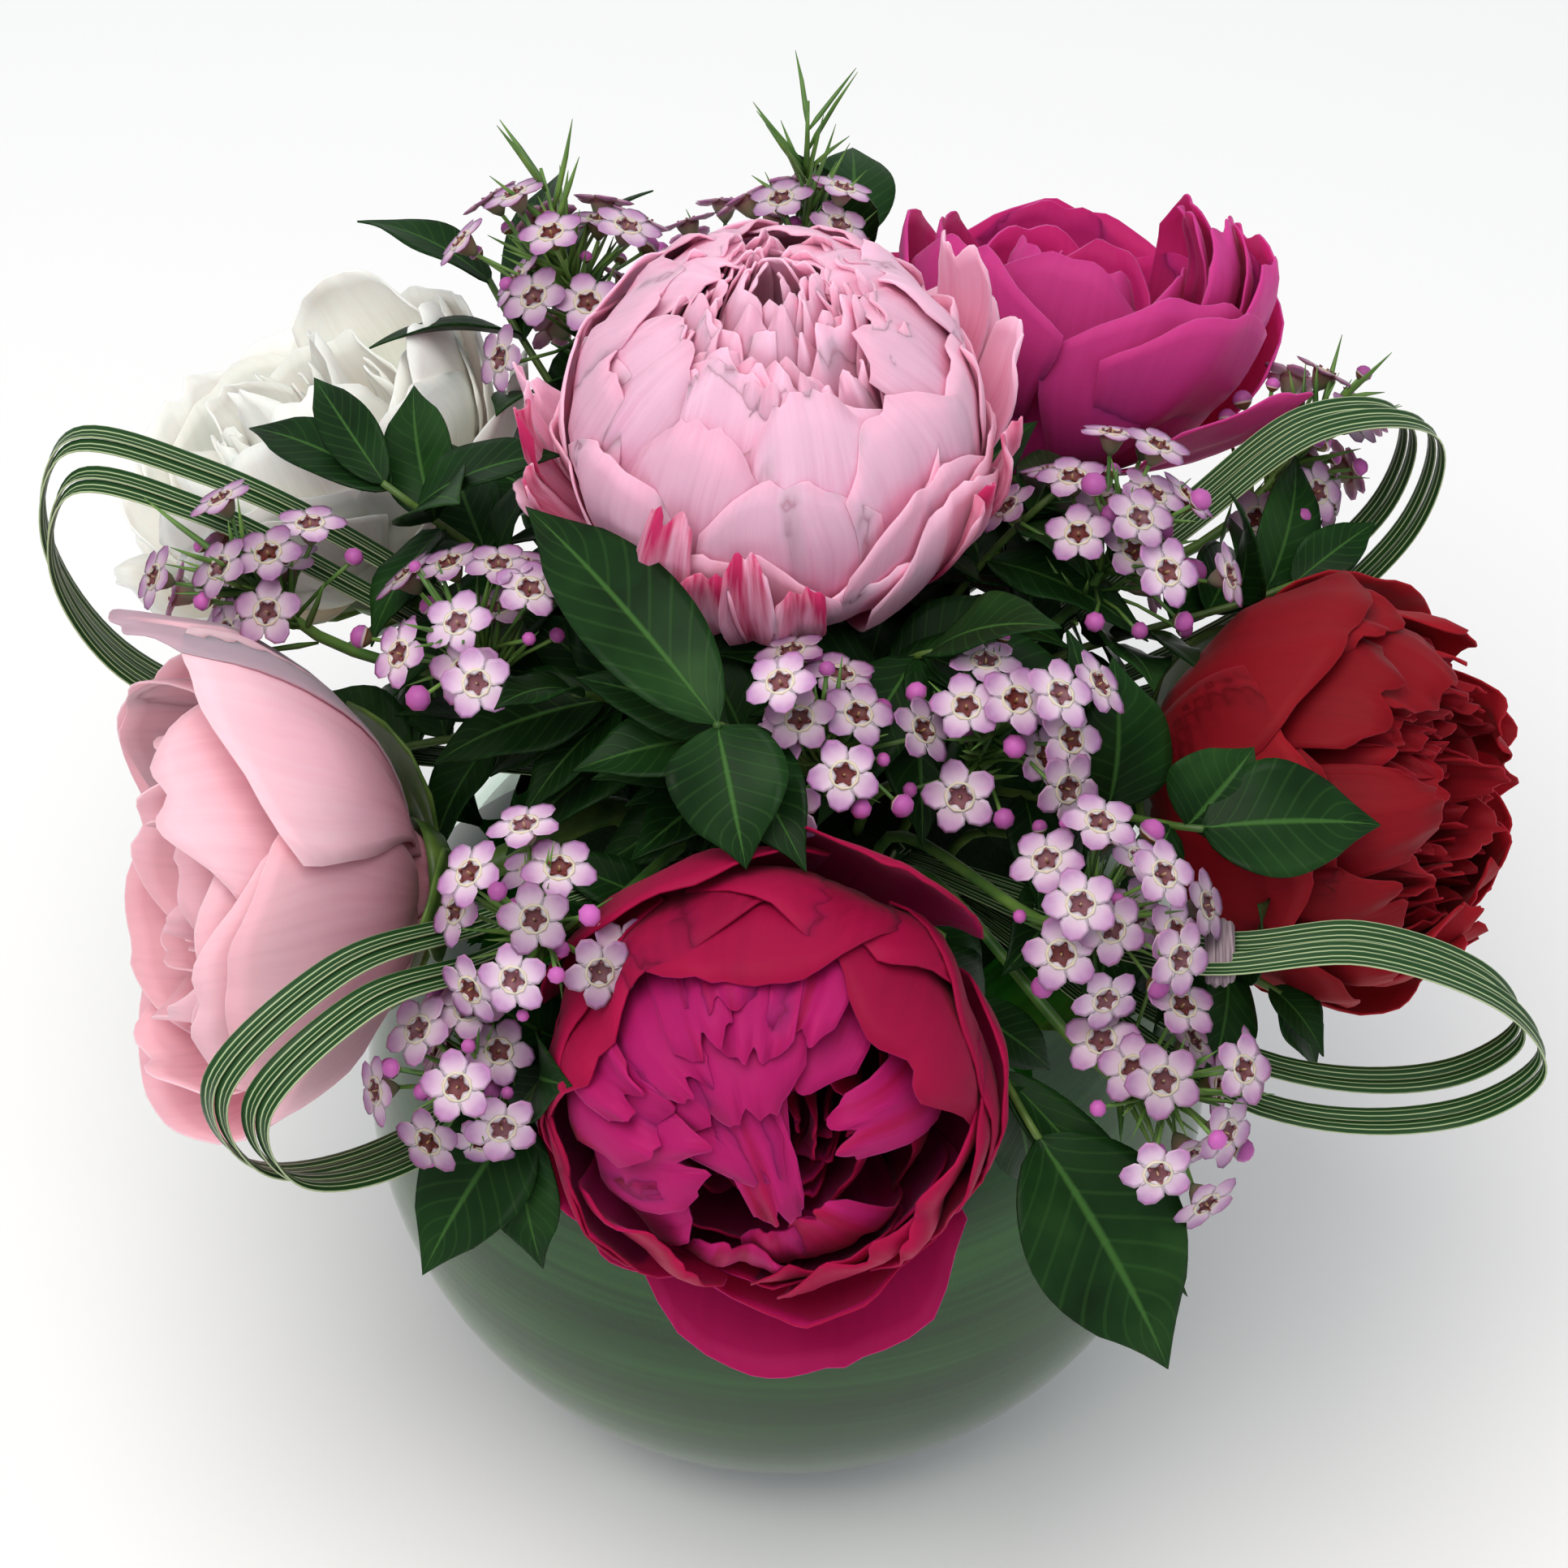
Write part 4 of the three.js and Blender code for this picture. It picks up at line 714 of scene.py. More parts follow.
def footing(target):
    """Where a stem leaves the foam on its way to a point, the way it heads, and its cut end.
    Low, far points are fed from near the foam's edge and high ones from near its middle."""
    reach = math.hypot(target.x, target.y)
    radius = WIDEST_FOOTING * reach / (reach + 0.8 * max(target.z - 150, 5))
    dome = math.sqrt(1 - (radius / FOAM_NECK) ** 2)
    entry = Vector((target.x * radius / reach, target.y * radius / reach,
                    FOAM_SHOULDER_Z + (FOAM_TOP_Z - FOAM_SHOULDER_Z) * dome))
    heading = (entry - STEM_FOCUS).normalized()
    return entry, heading, entry - heading * STEM_DEPTH


def stem_route(target, arrival, steps):
    """The points of a stem: its cut end, then a bend from the foam to its far end."""
    entry, heading, end = footing(target)
    start = entry + heading * 5
    slack = (target - start).length / 3
    corners = (start, start + heading * slack, target - arrival * slack, target)
    points = [end]
    for k in range(steps + 1):
        t = k / steps
        weights = ((1 - t) ** 3, 3 * t * (1 - t) ** 2, 3 * t * t * (1 - t), t ** 3)
        points.append(sum((c * w for c, w in zip(corners, weights)), Vector()))
    return points


def rolled_up(piece):
    """A grid bent round until two of its edges meet is merged there and closed at its ends."""
    bpy.ops.object.mode_set(mode="EDIT")
    bpy.ops.mesh.select_all(action="SELECT")
    bpy.ops.mesh.remove_doubles(threshold=0.002 * MM)
    bpy.ops.mesh.fill_holes(sides=0)
    bpy.ops.object.mode_set(mode="OBJECT")
    return piece


def stem_tube(name, points, radii, sides):
    """A round stem through the points, thinner or thicker by the given radii, closed at its ends."""
    last = len(points) - 1
    headings = [(points[min(k + 1, last)] - points[max(k - 1, 0)]).normalized() for k in range(last + 1)]
    level = headings[0].orthogonal()
    frames = []
    for heading in headings:
        level = (level - heading * level.dot(heading)).normalized()
        frames.append((level, heading.cross(level)))

    def place(across, along):
        k = round(along * last)
        level, rise = frames[k]
        turn = math.pi * across
        return points[k] + (level * math.cos(turn) + rise * math.sin(turn)) * radii[k]
    return rolled_up(shaped_sheet(name, sides, last, place))


def turned_sheet(name, profile, sides):
    """A profile of heights and radii turned round the flower's axis, its seam still open."""
    def place(across, along):
        height, radius = profile[round(along * (len(profile) - 1))]
        return Vector((radius * math.cos(math.pi * across), radius * math.sin(math.pi * across), height))
    return shaped_sheet(name, sides, len(profile) - 1, place)


# Fresh green stem, waxy: slightly uneven, with paler patches some 6 mm long.
fresh_stem = mottled("waxy_green_stem", {"Roughness": 0.45, "Specular IOR Level": 0.4},
                     6.25, 3.0, [(0.3, "#33521f"), (0.7, "#5f7a35")], {"Strength": 0.2, "Distance": 0.0003})


def peony_stem(peony):
    """The cup, sepals and stem of one peony."""
    face = Vector(peony["face"]).normalized()
    centre = Vector(peony["centre"])
    place_it = flower_matrix(centre, face, peony["half_height"])
    cup = rolled_up(turned_sheet("cup", PEONY_CUP, 20))
    cup.data.transform(place_it)
    parts = [cup]
    for azimuth in (30, 150, 270):
        sepal = dict(azimuth=math.radians(azimuth), radius=50, close=math.radians(48),
                     half=math.radians(36), flare=0, drop=13.5, round=0.55, notch=-0.1, ruffle=0.3,
                     waves=3, phase=1, ragged=0, crinkle=0, crumple=0, crease=0.6, curl=0.4)
        sheet = shaped_sheet("sepal", 8, 8, petal_shape(sepal, peony["half_height"]))
        finish_with(sheet, "SOLIDIFY", thickness=SEPAL_THICKNESS * MM, offset=-1)
        sheet.data.transform(place_it)
        parts.append(sheet)
    route = stem_route(centre - face * (peony["half_height"] + 15), face, 14)
    parts.append(stem_tube("stem", route, [PEONY_STEM_RADIUS] * len(route), 14))
    return joined(f"{peony['name']}_stem", parts)


for peony in PEONIES:
    stem = peony_stem(peony)
    stem.data.materials.clear()
    stem.data.materials.append(fresh_stem)
    stem.data.shade_smooth()
    ride_as(stem, "peony_stem", f"peony_{peony['name']}_stem")


# ---- The leafy stems -------------------------------------------------------------------------
# Short stems of dark, satin, pointed leaves. The source turned, lifted or left out stems and
# leaves to keep them clear, so each one is looked for among its node's corners. Smaller leaves
# fill the gaps between the flowers, where nothing stands in their way.

LEAF_STEM_RADIUS = 1.2
LEAF_ARCH = 0.7
LEAF_FOLD = 0.22
FILL_LENGTH = 42
FILL_WIDTH = 22
LEAF_THICKNESS = 0.45
LOWEST_LEAF_Z = 140
LEAF_TRIES = 40
LEAF_CLEARANCE = 1
LEAF_SPACING = 4
TIP_FROM = 0.72

# end is where the stem ends. blades: for each large leaf, the share of the way along the stem
# where it stands, then its tip and width. fill and extra count the smaller leaves that the
# source has and those that are only here.
LEAFY_STEMS = [
    dict(name="front_right", end=(33, -118, 187), fill=2, seed=201, extra=2,
         blades=[(1, (79, -139, 145), 37), (0.8, (84, -124, 150), 15)]),
    dict(name="right_front", end=(74, -76, 228), fill=1, seed=202, extra=5,
         blades=[(1, (123, -60, 227), 27), (0.95, (96, -52, 240), 25), (0.72, (70, -40, 252), 28)]),
    dict(name="centre", end=(-14, -66, 260), fill=3, seed=209, extra=9,
         blades=[(1, (-12, -90, 242), 26), (0.97, (-55, -8, 268), 25)]),
    dict(name="left_back", end=(-86, 12, 256), fill=2, seed=208, extra=12,
         blades=[(1, (-104, 43, 262), 13), (0.97, (-119, 40, 250), 15), (0.9, (-47, 6, 270), 20)]),
    dict(name="back_left", end=(-58, 96, 250), fill=3, seed=207, extra=8,
         blades=[(1, (-98, 109, 258), 15), (0.9, (-33, 121, 262), 17), (0.85, (-56, 138, 250), 15)]),
    dict(name="front_left", end=(-66, -100, 186), fill=3, seed=210, extra=7,
         blades=[(0.95, (-84, -108, 158), 26), (1, (-50, -124, 160), 18)]),
    dict(name="right_low", end=(108, -60, 180), fill=2, seed=203, extra=7,
         blades=[(1, (108, -77, 165), 14), (0.97, (131, -79, 169), 22)]),
    dict(name="right_inner", end=(56, 20, 252), fill=2, seed=205, extra=10,
         blades=[(1, (50, 26, 278), 17), (0.95, (98, 38, 256), 20), (0.85, (84, -14, 252), 24)]),
    dict(name="right_back", end=(112, 20, 220), fill=4, seed=204, extra=9,
         blades=[(1, (133, 28, 230), 13)]),
    dict(name="centre_right", end=(30, -30, 246), fill=5, seed=214, extra=11, blades=[]),
    dict(name="centre_left", end=(-44, -38, 242), fill=5, seed=215, extra=14, blades=[]),
    dict(name="inner_left", end=(-40, 24, 228), fill=5, seed=216, extra=14, blades=[]),
    dict(name="inner_right", end=(32, 22, 230), fill=5, seed=217, extra=12, blades=[]),
    dict(name="back_right", end=(30, 134, 226), fill=5, seed=206, extra=8, blades=[]),
    dict(name="left_low", end=(-118, 16, 176), fill=4, seed=211, extra=12, blades=[]),
    dict(name="back_low", end=(84, 126, 172), fill=4, seed=212, extra=8, blades=[]),
    dict(name="back_left_low", end=(-66, 128, 172), fill=4, seed=213, extra=8, blades=[]),
]


def tilted(axis, tilt, azimuth):
    """A direction tilted from an axis by an angle, at an azimuth round it."""
    level, rise = frame_about(axis)
    return axis * math.cos(tilt) + (level * math.cos(azimuth) + rise * math.sin(azimuth)) * math.sin(tilt)


def corners_of(node_name):
    """A search tree of a solid's corners."""
    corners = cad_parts[node_name].data.vertices
    tree = KDTree(len(corners))
    for i, corner in enumerate(corners):
        tree.insert(corner.co, i)
    tree.balance()
    return tree


def is_corner(tree, point):
    """True if the solid has a corner at the point."""
    return tree.find(point * MM)[2] < 0.3 * MM


def place_found(tree, target, radius):
    """Where the source put a stem that was to lead to a point: its cut end is a triangle of that
    radius, and it was turned about the bowl and lifted until it was clear."""
    for lift in (0, 7, -7, 14):
        for turn in (0, 3, -3, 6, -6, 9, -9, 12, -12, 15, -15, 18, -18):
            moved = Matrix.Rotation(math.radians(turn), 3, "Z") @ Vector(target)
            moved.z += lift
            end = footing(moved)[2] * MM
            if all(abs(distance / MM - radius) < 0.01 for _, _, distance in tree.find_n(end, 3)):
                return moved
    raise ValueError(f"no stem leads to {target}")


def nearness_to(names):
    """Measures how far a point is from the nearest of those solids, in millimetres."""
    corners, faces = [], []
    for name in names:
        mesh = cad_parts[name].data
        first = len(corners)
        corners += [vertex.co.copy() for vertex in mesh.vertices]
        faces += [[first + i for i in face.vertices] for face in mesh.polygons]
    tree = BVHTree.FromPolygons(corners, faces)
    return lambda point: tree.find_nearest(point * MM)[3] / MM


def on_bend(route, share):
    """A place on the bend of a stem and the way the stem heads there. The route's first length
    is the straight one in the foam."""
    steps = len(route) - 2
    reach = min(share, 0.99) * steps
    k = math.floor(reach) + 1
    return route[k].lerp(route[k + 1], reach - k + 1), (route[k + 1] - route[k]).normalized()


def leaf_point(leaf, t, across=0.0):
    """A point of a leaf, t of the way along it: folded up along its midrib and arched down."""
    away = (leaf["root"] - STEM_FOCUS).normalized()
    ahead = leaf["ahead"]
    face = (away - ahead * away.dot(ahead)).normalized()
    side = face.cross(ahead).normalized()
    up = ahead.cross(side).normalized()
    length = leaf["length"]
    half = 0
    if 0 < t < 1:
        half = leaf["width"] / 2 * math.sin(math.pi * t ** 0.8) ** 0.85 * (1 - 0.18 * t)
        half *= 1 - 0.45 * max(t - TIP_FROM, 0) / (1 - TIP_FROM)
    lift = half * math.tan(LEAF_FOLD) * abs(across) ** 1.3
    lift += leaf.get("wave", 0) * half * math.sin(9 * t + leaf.get("phase", 0)) * across * abs(across)
    return (leaf["root"] + ahead * (length * math.sin(LEAF_ARCH * t) / LEAF_ARCH)
            - up * (length * (1 - math.cos(LEAF_ARCH * t)) / LEAF_ARCH)
            - side * half * across + up * lift)


def source_leaf(tree, root, directions, length, width):
    """The leaf that the source made of these choices, or None where it left it out."""
    for scale in (1, 0.75, 0.55):
        for ahead in directions:
            leaf = dict(root=root, ahead=ahead, length=length * scale, width=width * scale)
            if is_corner(tree, leaf_point(leaf, 1)):
                return leaf
    return None


def source_leaves(spec, tree, route):
    """The leaves that the source's stem carries."""
    draw = seeded_draw(spec["seed"])
    leaves = []
    for share, tip, width in spec["blades"]:
        root = on_bend(route, share)[0]
        to_tip = Vector(tip) - root
        away = (root - STEM_FOCUS).normalized()
        direct = (to_tip.normalized() + away * (LEAF_ARCH / 2)).normalized()
        directions = [direct] + [tilted(direct, math.radians(lean), math.radians(turn))
                                 for lean in (8, 16, 24) for turn in (0, 90, 180, 270)]
        leaves.append(source_leaf(tree, root, directions, to_tip.length, width))
    for k in range(spec["fill"]):
        highest = 0.85 if spec["blades"] else 0.99
        share = min(0.35 + 0.64 * k / max(spec["fill"] - 1, 1), highest)
        size = 0.75 + 0.25 * draw()
        lean = math.radians(4 if share > 0.98 else 48 + 14 * draw())
        first_turn = k * math.pi + 0.7 * (draw() - 0.5)
        root, heading = on_bend(route, share)
        directions = [tilted(heading, lean + 0.1 * abs(turn), first_turn + turn)
                      for turn in (0, 0.5, -0.5, 1, -1, 1.5, -1.5)]
        leaves.append(source_leaf(tree, root, directions, FILL_LENGTH * size, FILL_WIDTH * size))
    return [leaf for leaf in leaves if leaf]


def added_leaves(spec, route, taken):
    """Smaller leaves in the gaps: kept only where they are clear of the solids and each other."""
    draw = seeded_draw(spec["seed"] + 300)
    leaves = []
    for _ in range(spec["extra"]):
        for _ in range(LEAF_TRIES):
            root, heading = on_bend(route, 0.12 + 0.83 * draw())
            ahead = tilted(heading, math.radians(40 + 45 * draw()), 2 * math.pi * draw())
            length = 24 + 20 * draw()
            leaf = dict(root=root, ahead=ahead, length=length, width=length * (0.42 + 0.12 * draw()))
            spots = [leaf_point(leaf, t, across) for t in (0.4, 0.6, 0.8, 1) for across in (-1, 0, 1)]
            clear = all(clearance(spot) > LEAF_CLEARANCE and spot.z > LOWEST_LEAF_Z for spot in spots)
            apart = all((spot - other).length > LEAF_SPACING for spot in spots for other in taken)
            if clear and apart:
                leaves.append(leaf)
                taken += [leaf_point(leaf, t) for t in (0.5, 0.9)]
                break
    return leaves


# Leaf of a glossy shrub, waxy: dark green, a paler midrib and side veins that curve to the tip.
shrub_leaf, shader = new_material("waxy_dark_leaf", {"Roughness": 0.42, "Specular IOR Level": 0.09})
leaf_map = add_node(shrub_leaf, "UVMap")
on_leaf = add_node(shrub_leaf, "SeparateXYZ", links={"Vector": (leaf_map, "UV")})
from_rib = add_node(shrub_leaf, "Math", {"operation": "MULTIPLY_ADD", 1: 2.0, 2: -1.0}, {0: (on_leaf, "X")})
off_rib = add_node(shrub_leaf, "Math", {"operation": "ABSOLUTE"}, {0: (from_rib, "Value")})
bent = add_node(shrub_leaf, "Math", {"operation": "MULTIPLY_ADD", 1: -0.22},
                {0: (off_rib, "Value"), 2: (on_leaf, "Y")})
vein_turns = add_node(shrub_leaf, "Math", {"operation": "MULTIPLY", 1: 62.0}, {0: (bent, "Value")})
vein_wave = add_node(shrub_leaf, "Math", {"operation": "SINE"}, {0: (vein_turns, "Value")})
side_veins = add_node(shrub_leaf, "MapRange", {"From Min": 0.75, "From Max": 1.0},
                      {"Value": (vein_wave, "Value")})
midrib = add_node(shrub_leaf, "MapRange", {"From Min": 0.07, "From Max": 0.02}, {"Value": (off_rib, "Value")})
vein_marks = add_node(shrub_leaf, "Math", {"operation": "MULTIPLY_ADD", 1: 0.2},
                      {0: (side_veins, "Result"), 2: (midrib, "Result")})
leaf_place = add_node(shrub_leaf, "TexCoord")
leaf_patches = add_node(shrub_leaf, "TexNoise", {"Scale": 45.0, "Detail": 3.0},
                        {"Vector": (leaf_place, "Object")})
leaf_ramp = add_node(shrub_leaf, "ValToRGB", {"stops": [
    (0.3, linear("#0b200a")), (0.55, linear("#143212")), (0.8, linear("#24461c"))]},
    {"Fac": (leaf_patches, "Fac")})
veined = add_node(shrub_leaf, "Mix", {"data_type": "RGBA", 7: linear("#365c28")},
                  {0: (vein_marks, "Value"), 6: (leaf_ramp, "Color")})
link(shrub_leaf, veined, 2, shader, "Base Color")
leaf_bump = add_node(shrub_leaf, "Bump", {"Strength": 0.4, "Distance": 0.0004, "invert": True},
                     {"Height": (vein_marks, "Value")})
link(shrub_leaf, leaf_bump, "Normal", shader, "Normal")


def leaf_sheet(leaf, columns, rows):
    """One leaf as a thin sheet."""
    sheet = shaped_sheet("leaf", columns, rows, lambda across, along: leaf_point(leaf, along, across))
    sheet.data.materials.append(shrub_leaf)
    return finish_with(sheet, "SOLIDIFY", thickness=LEAF_THICKNESS * MM, offset=0)


def leafy_stem(spec, taken):
    """A stem with the leaves of the source and the added ones. taken is where leaves are so far."""
    tree = corners_of(f"leaves_{spec['name']}")
    end = place_found(tree, spec["end"], LEAF_STEM_RADIUS)
    arrival = Vector((end.x, end.y, 0)).normalized() * 0.8
    arrival.z = (end.z - 190) / 90
    arrival.normalize()
    draw = seeded_draw(spec["seed"] + 700)
    fine_route = stem_route(end, arrival, 12)
    radii = [LEAF_STEM_RADIUS - 0.03 * k for k in range(len(fine_route))]
    stem = stem_tube("stem", fine_route, radii, 8)
    stem.data.materials.append(fresh_stem)
    parts = [stem]
    for leaf in source_leaves(spec, tree, stem_route(end, arrival, 4)):
        leaf.update(wave=0.22 * draw(), phase=6 * draw())
        parts.append(leaf_sheet(leaf, 10, 18))
    for leaf in added_leaves(spec, fine_route, taken):
        leaf.update(wave=0.22 * draw(), phase=6 * draw())
        parts.append(leaf_sheet(leaf, 6, 10))
    piece = joined(f"leafy_stem_{spec['name']}", parts)
    piece.data.shade_smooth()
    return piece


# Leaves may lie against the bowl and its lining, and are kept clear of all the other solids.
passed_over = ("bowl", "lining_leaf_front", "lining_leaf_back")
clearance = nearness_to([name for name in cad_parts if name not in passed_over])
leaf_spots = []
for spec in LEAFY_STEMS:
    ride_as(leafy_stem(spec, leaf_spots), "foliage", f"leaves_{spec['name']}")


# ---- The waxflower sprays --------------------------------------------------------------------
# Twigs of Geraldton waxflower: small five-petalled flowers 15 mm across round a waxy cup, round
# buds, and needle leaves. Flowers and needles are looked for among the solid's corners, and
# buds, stalks, stamens and more needles are only here.

TWIG_RADIUS = 1.3
STALK_SPREAD = 9
FLOWER_RADIUS = 7.8
PETAL_HALF_ANGLE = 19
NECK_DEPTH = 4.4
BUD_RADIUS = 2.9
HEAD_TRIES = 60
HEAD_CLEARANCE = 4.5
HEAD_SPACING = 7
OPEN_FROM = 0.55
ADDED_NEEDLES = 34
NEEDLE_TIP_CLEARANCE = 2
NEEDLE_CLEARANCE = 1.5

# The flower cup's heights and radii, from its foot over its rim to its middle, and the place of
# each ring on the colour ramp.
CUP_SIDES = 10
CUP_RINGS = [(-4.4, 0.5, 0.02), (-3.0, 1.7, 0.06), (-0.6, 2.8, 0.16), (1.0, 3.2, 0.5), (1.05, 2.7, 0.5),
             (0.1, 2.3, 0.27), (-0.5, 0.2, 0.3)]

# hub is where the flower stalks part, reach their length, cone how wide they fan out, and tip
# the length of the leafy end beyond the hub.
SPRAYS = [
    dict(name="top_left", hub=(-48, 80, 255), reach=25, cone=62, flowers=9, tip=28, needles=8, seed=101),
    dict(name="top_back", hub=(4, 92, 256), reach=18, cone=58, flowers=7, tip=34, needles=8, seed=102),
    dict(name="left", hub=(-112, 10, 238), reach=20, cone=60, flowers=8, tip=14, needles=5, seed=103),
    dict(name="left_inner", hub=(-66, -26, 246), reach=22, cone=62, flowers=7, tip=8, needles=3, seed=104),
    dict(name="centre", hub=(8, -56, 244), reach=21, cone=60, flowers=8, tip=5, needles=2, seed=106),
    dict(name="centre_right", hub=(42, -48, 240), reach=21, cone=60, flowers=8, tip=5, needles=2, seed=107),
    dict(name="right_upper", hub=(70, 4, 244), reach=23, cone=64, flowers=9, tip=10, needles=4, seed=108),
    dict(name="right_far", hub=(122, 44, 218), reach=24, cone=64, flowers=8, tip=22, needles=7, seed=109),
    dict(name="front_left", hub=(-64, -82, 228), reach=21, cone=66, flowers=8, tip=4, needles=2, seed=110),
    dict(name="front_left_low", hub=(-70, -102, 200), reach=19, cone=66, flowers=6, tip=3, needles=2,
         seed=120),
    dict(name="front_right", hub=(62, -84, 224), reach=21, cone=66, flowers=8, tip=4, needles=3, seed=111),
    dict(name="front_right_low", hub=(76, -104, 194), reach=22, cone=70, flowers=8, tip=5, needles=4,
         seed=121),
    dict(name="back", hub=(-14, 128, 214), reach=24, cone=66, flowers=6, tip=10, needles=3, seed=112),
]


def mark_parts(piece, value_at):
    """The first of a piece's three numbers says where on the colour ramp each point lies."""
    marks = piece.data.attributes.new("flower", "FLOAT_VECTOR", "POINT")
    for vertex, mark in zip(piece.data.vertices, marks.data):
        mark.vector = (value_at(vertex.co), 0.5, 0.5)


def waxflower_petal(turn):
    """A thick round petal, hollowed like a spoon."""
    petal = primitive("uv_sphere", segments=8, ring_count=4, radius=1)
    for vertex in petal.data.vertices:
        u, v, w = vertex.co
        hollow = 0.9 * (0.75 * u * u + v * v) - 0.15 * u
        vertex.co = Vector((4.75 + 3.1 * u, (3.0 - 0.4 * u) * v, 0.15 + hollow + 0.22 * w)) * MM
    mark_parts(petal, lambda point: 0.6 + 0.32 * min(max((point.x / MM - 2.2) / 4.2, 0), 1))
    petal.data.transform(Matrix.Rotation(turn, 4, "Z"))
    return petal


def waxflower_head():
    """An open flower in its own frame, its face along +Z."""
    parts = [waxflower_petal(math.radians(72 * (k + 0.5))) for k in range(5)]
    cup = turned_sheet("cup", [ring[:2] for ring in CUP_RINGS], CUP_SIDES)
    marks = cup.data.attributes.new("flower", "FLOAT_VECTOR", "POINT")
    for i, mark in enumerate(marks.data):
        mark.vector = (CUP_RINGS[i // (CUP_SIDES + 1)][2], 0.5, 0.5)
    parts.append(rolled_up(cup))
    for k in range(5):
        stamen = primitive("cone", vertices=3, radius1=0.16 * MM, radius2=0.4 * MM, depth=1.0 * MM)
        stamen.data.transform(Matrix.Rotation(math.radians(72 * k), 4, "Z")
                              @ Matrix.Translation(Vector((2.1, 0, 1.0)) * MM))
        mark_parts(stamen, lambda point: 0.3)
        parts.append(stamen)
    style = primitive("cone", vertices=4, radius1=0.4 * MM, radius2=0.2 * MM, depth=1.8 * MM,
                      location=(0, 0, 0.5 * MM))
    bpy.ops.object.transform_apply(location=True)
    mark_parts(style, lambda point: 0.42)
    parts.append(style)
    return joined("waxflower_head", parts)


def waxflower_bud():
    """A closed bud: a ball of folded petals on a small green cup."""
    ball = primitive("uv_sphere", segments=8, ring_count=6, radius=1)
    for vertex in ball.data.vertices:
        squeeze = 1 - 0.25 * max(-vertex.co.z, 0)
        x, y, z = vertex.co
        vertex.co = Vector((x * squeeze, y * squeeze, z * 0.95 + 0.5)) * BUD_RADIUS * MM
    mark_parts(ball, lambda point: 1.0 if point.z > 0.6 * MM else 0.12)
    return ball


def copy_of(template, matrix):
    """A copy of a template, with a mesh of its own, brought to a place."""
    piece = template.copy()
    piece.data = template.data.copy()
    bpy.context.scene.collection.objects.link(piece)
    piece.data.transform(matrix)
    return piece


def toned(piece, tone, shade):
    """The same flower or bud with its own tone and shade."""
    for mark in piece.data.attributes["flower"].data:
        mark.vector = (mark.vector[0], tone, shade)
    return piece


def flower_frame(head, face, scale=1.0):
    """Brings a template, whose own axis is +Z, to a place so that it looks that way."""
    level, rise = frame_about(face)
    turned = Matrix((level, rise, face)).transposed().to_4x4()
    return Matrix.Translation(head * MM) @ turned @ Matrix.Scale(scale, 4)


def source_flower(tree, head, face):
    """True if the source kept this flower: at least three of its ten outer corners are there."""
    level, rise = frame_about(face)
    found = 0
    for k in range(5):
        for turn in (-PETAL_HALF_ANGLE, PETAL_HALF_ANGLE):
            angle = math.radians(72 * (k + 0.5) + turn)
            rim = level * math.cos(angle) + rise * math.sin(angle)
            found += is_corner(tree, head + rim * FLOWER_RADIUS + face * 0.9)
    return found >= 3


# Waxflower, waxy and thick: a green cup with a red-brown inside and a cream rim, and petals that
# run from cream at the root to lilac-pink.
wax_petal, shader = new_material("waxflower_petal", {
    "Roughness": 0.45, "Specular IOR Level": 0.25, "Subsurface Weight": 0.15, "Subsurface Scale": 0.002,
})
flower_marks = add_node(wax_petal, "Attribute", {"attribute_name": "flower"})
flower_parts = add_node(wax_petal, "SeparateXYZ", links={"Vector": (flower_marks, "Vector")})
wax_place = add_node(wax_petal, "TexCoord")
wax_noise = add_node(wax_petal, "TexNoise", {"Scale": 500.0, "Detail": 2.0},
                     {"Vector": (wax_place, "Object")})
wax_wander = add_node(wax_petal, "Math", {"operation": "MULTIPLY_ADD", 1: 0.06},
                      {0: (wax_noise, "Fac"), 2: (flower_parts, "X")})
wax_ramp = add_node(wax_petal, "ValToRGB", {"stops": [
    (0.03, linear("#4c6a2c")), (0.2, linear("#7a6040")), (0.27, linear("#5c1c18")),
    (0.38, linear("#7a3428")), (0.46, linear("#a88a58")), (0.53, linear("#dccdb4")),
    (0.64, linear("#dccbd2")), (0.82, linear("#c8a4c2")), (0.94, linear("#a878a8")),
    (1.0, linear("#c060b0"))]}, {"Fac": (wax_wander, "Value")})
wax_pale = add_node(wax_petal, "MapRange", {"To Min": 0.0, "To Max": 0.5}, {"Value": (flower_parts, "Y")})
wax_mixed = add_node(wax_petal, "Mix", {"data_type": "RGBA", "blend_type": "SCREEN", 7: linear("#8c7286")},
                     {0: (wax_pale, "Result"), 6: (wax_ramp, "Color")})
wax_shade = add_node(wax_petal, "MapRange", {"To Min": 0.6, "To Max": 1.05}, {"Value": (flower_parts, "Z")})
wax_toned = add_node(wax_petal, "VectorMath", {"operation": "SCALE"},
                     {0: (wax_mixed, 2), "Scale": (wax_shade, "Result")})
link(wax_petal, wax_toned, "Vector", shader, "Base Color")

# Young needle leaf: bright yellow-green, satin, darker and lighter every centimetre or so.
needle_green = mottled("young_needle_leaf", {"Roughness": 0.45, "Specular IOR Level": 0.4},
                       11.1, 2.0, [(0.3, "#2f5a24"), (0.7, "#6d9242")])

head_template = waxflower_head()
bud_template = waxflower_bud()
for template in (head_template, bud_template):
    template.data.materials.append(wax_petal)
    template.data.shade_smooth()
around_sprays = nearness_to([
    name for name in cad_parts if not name.startswith("waxflower") and name != "bowl"])

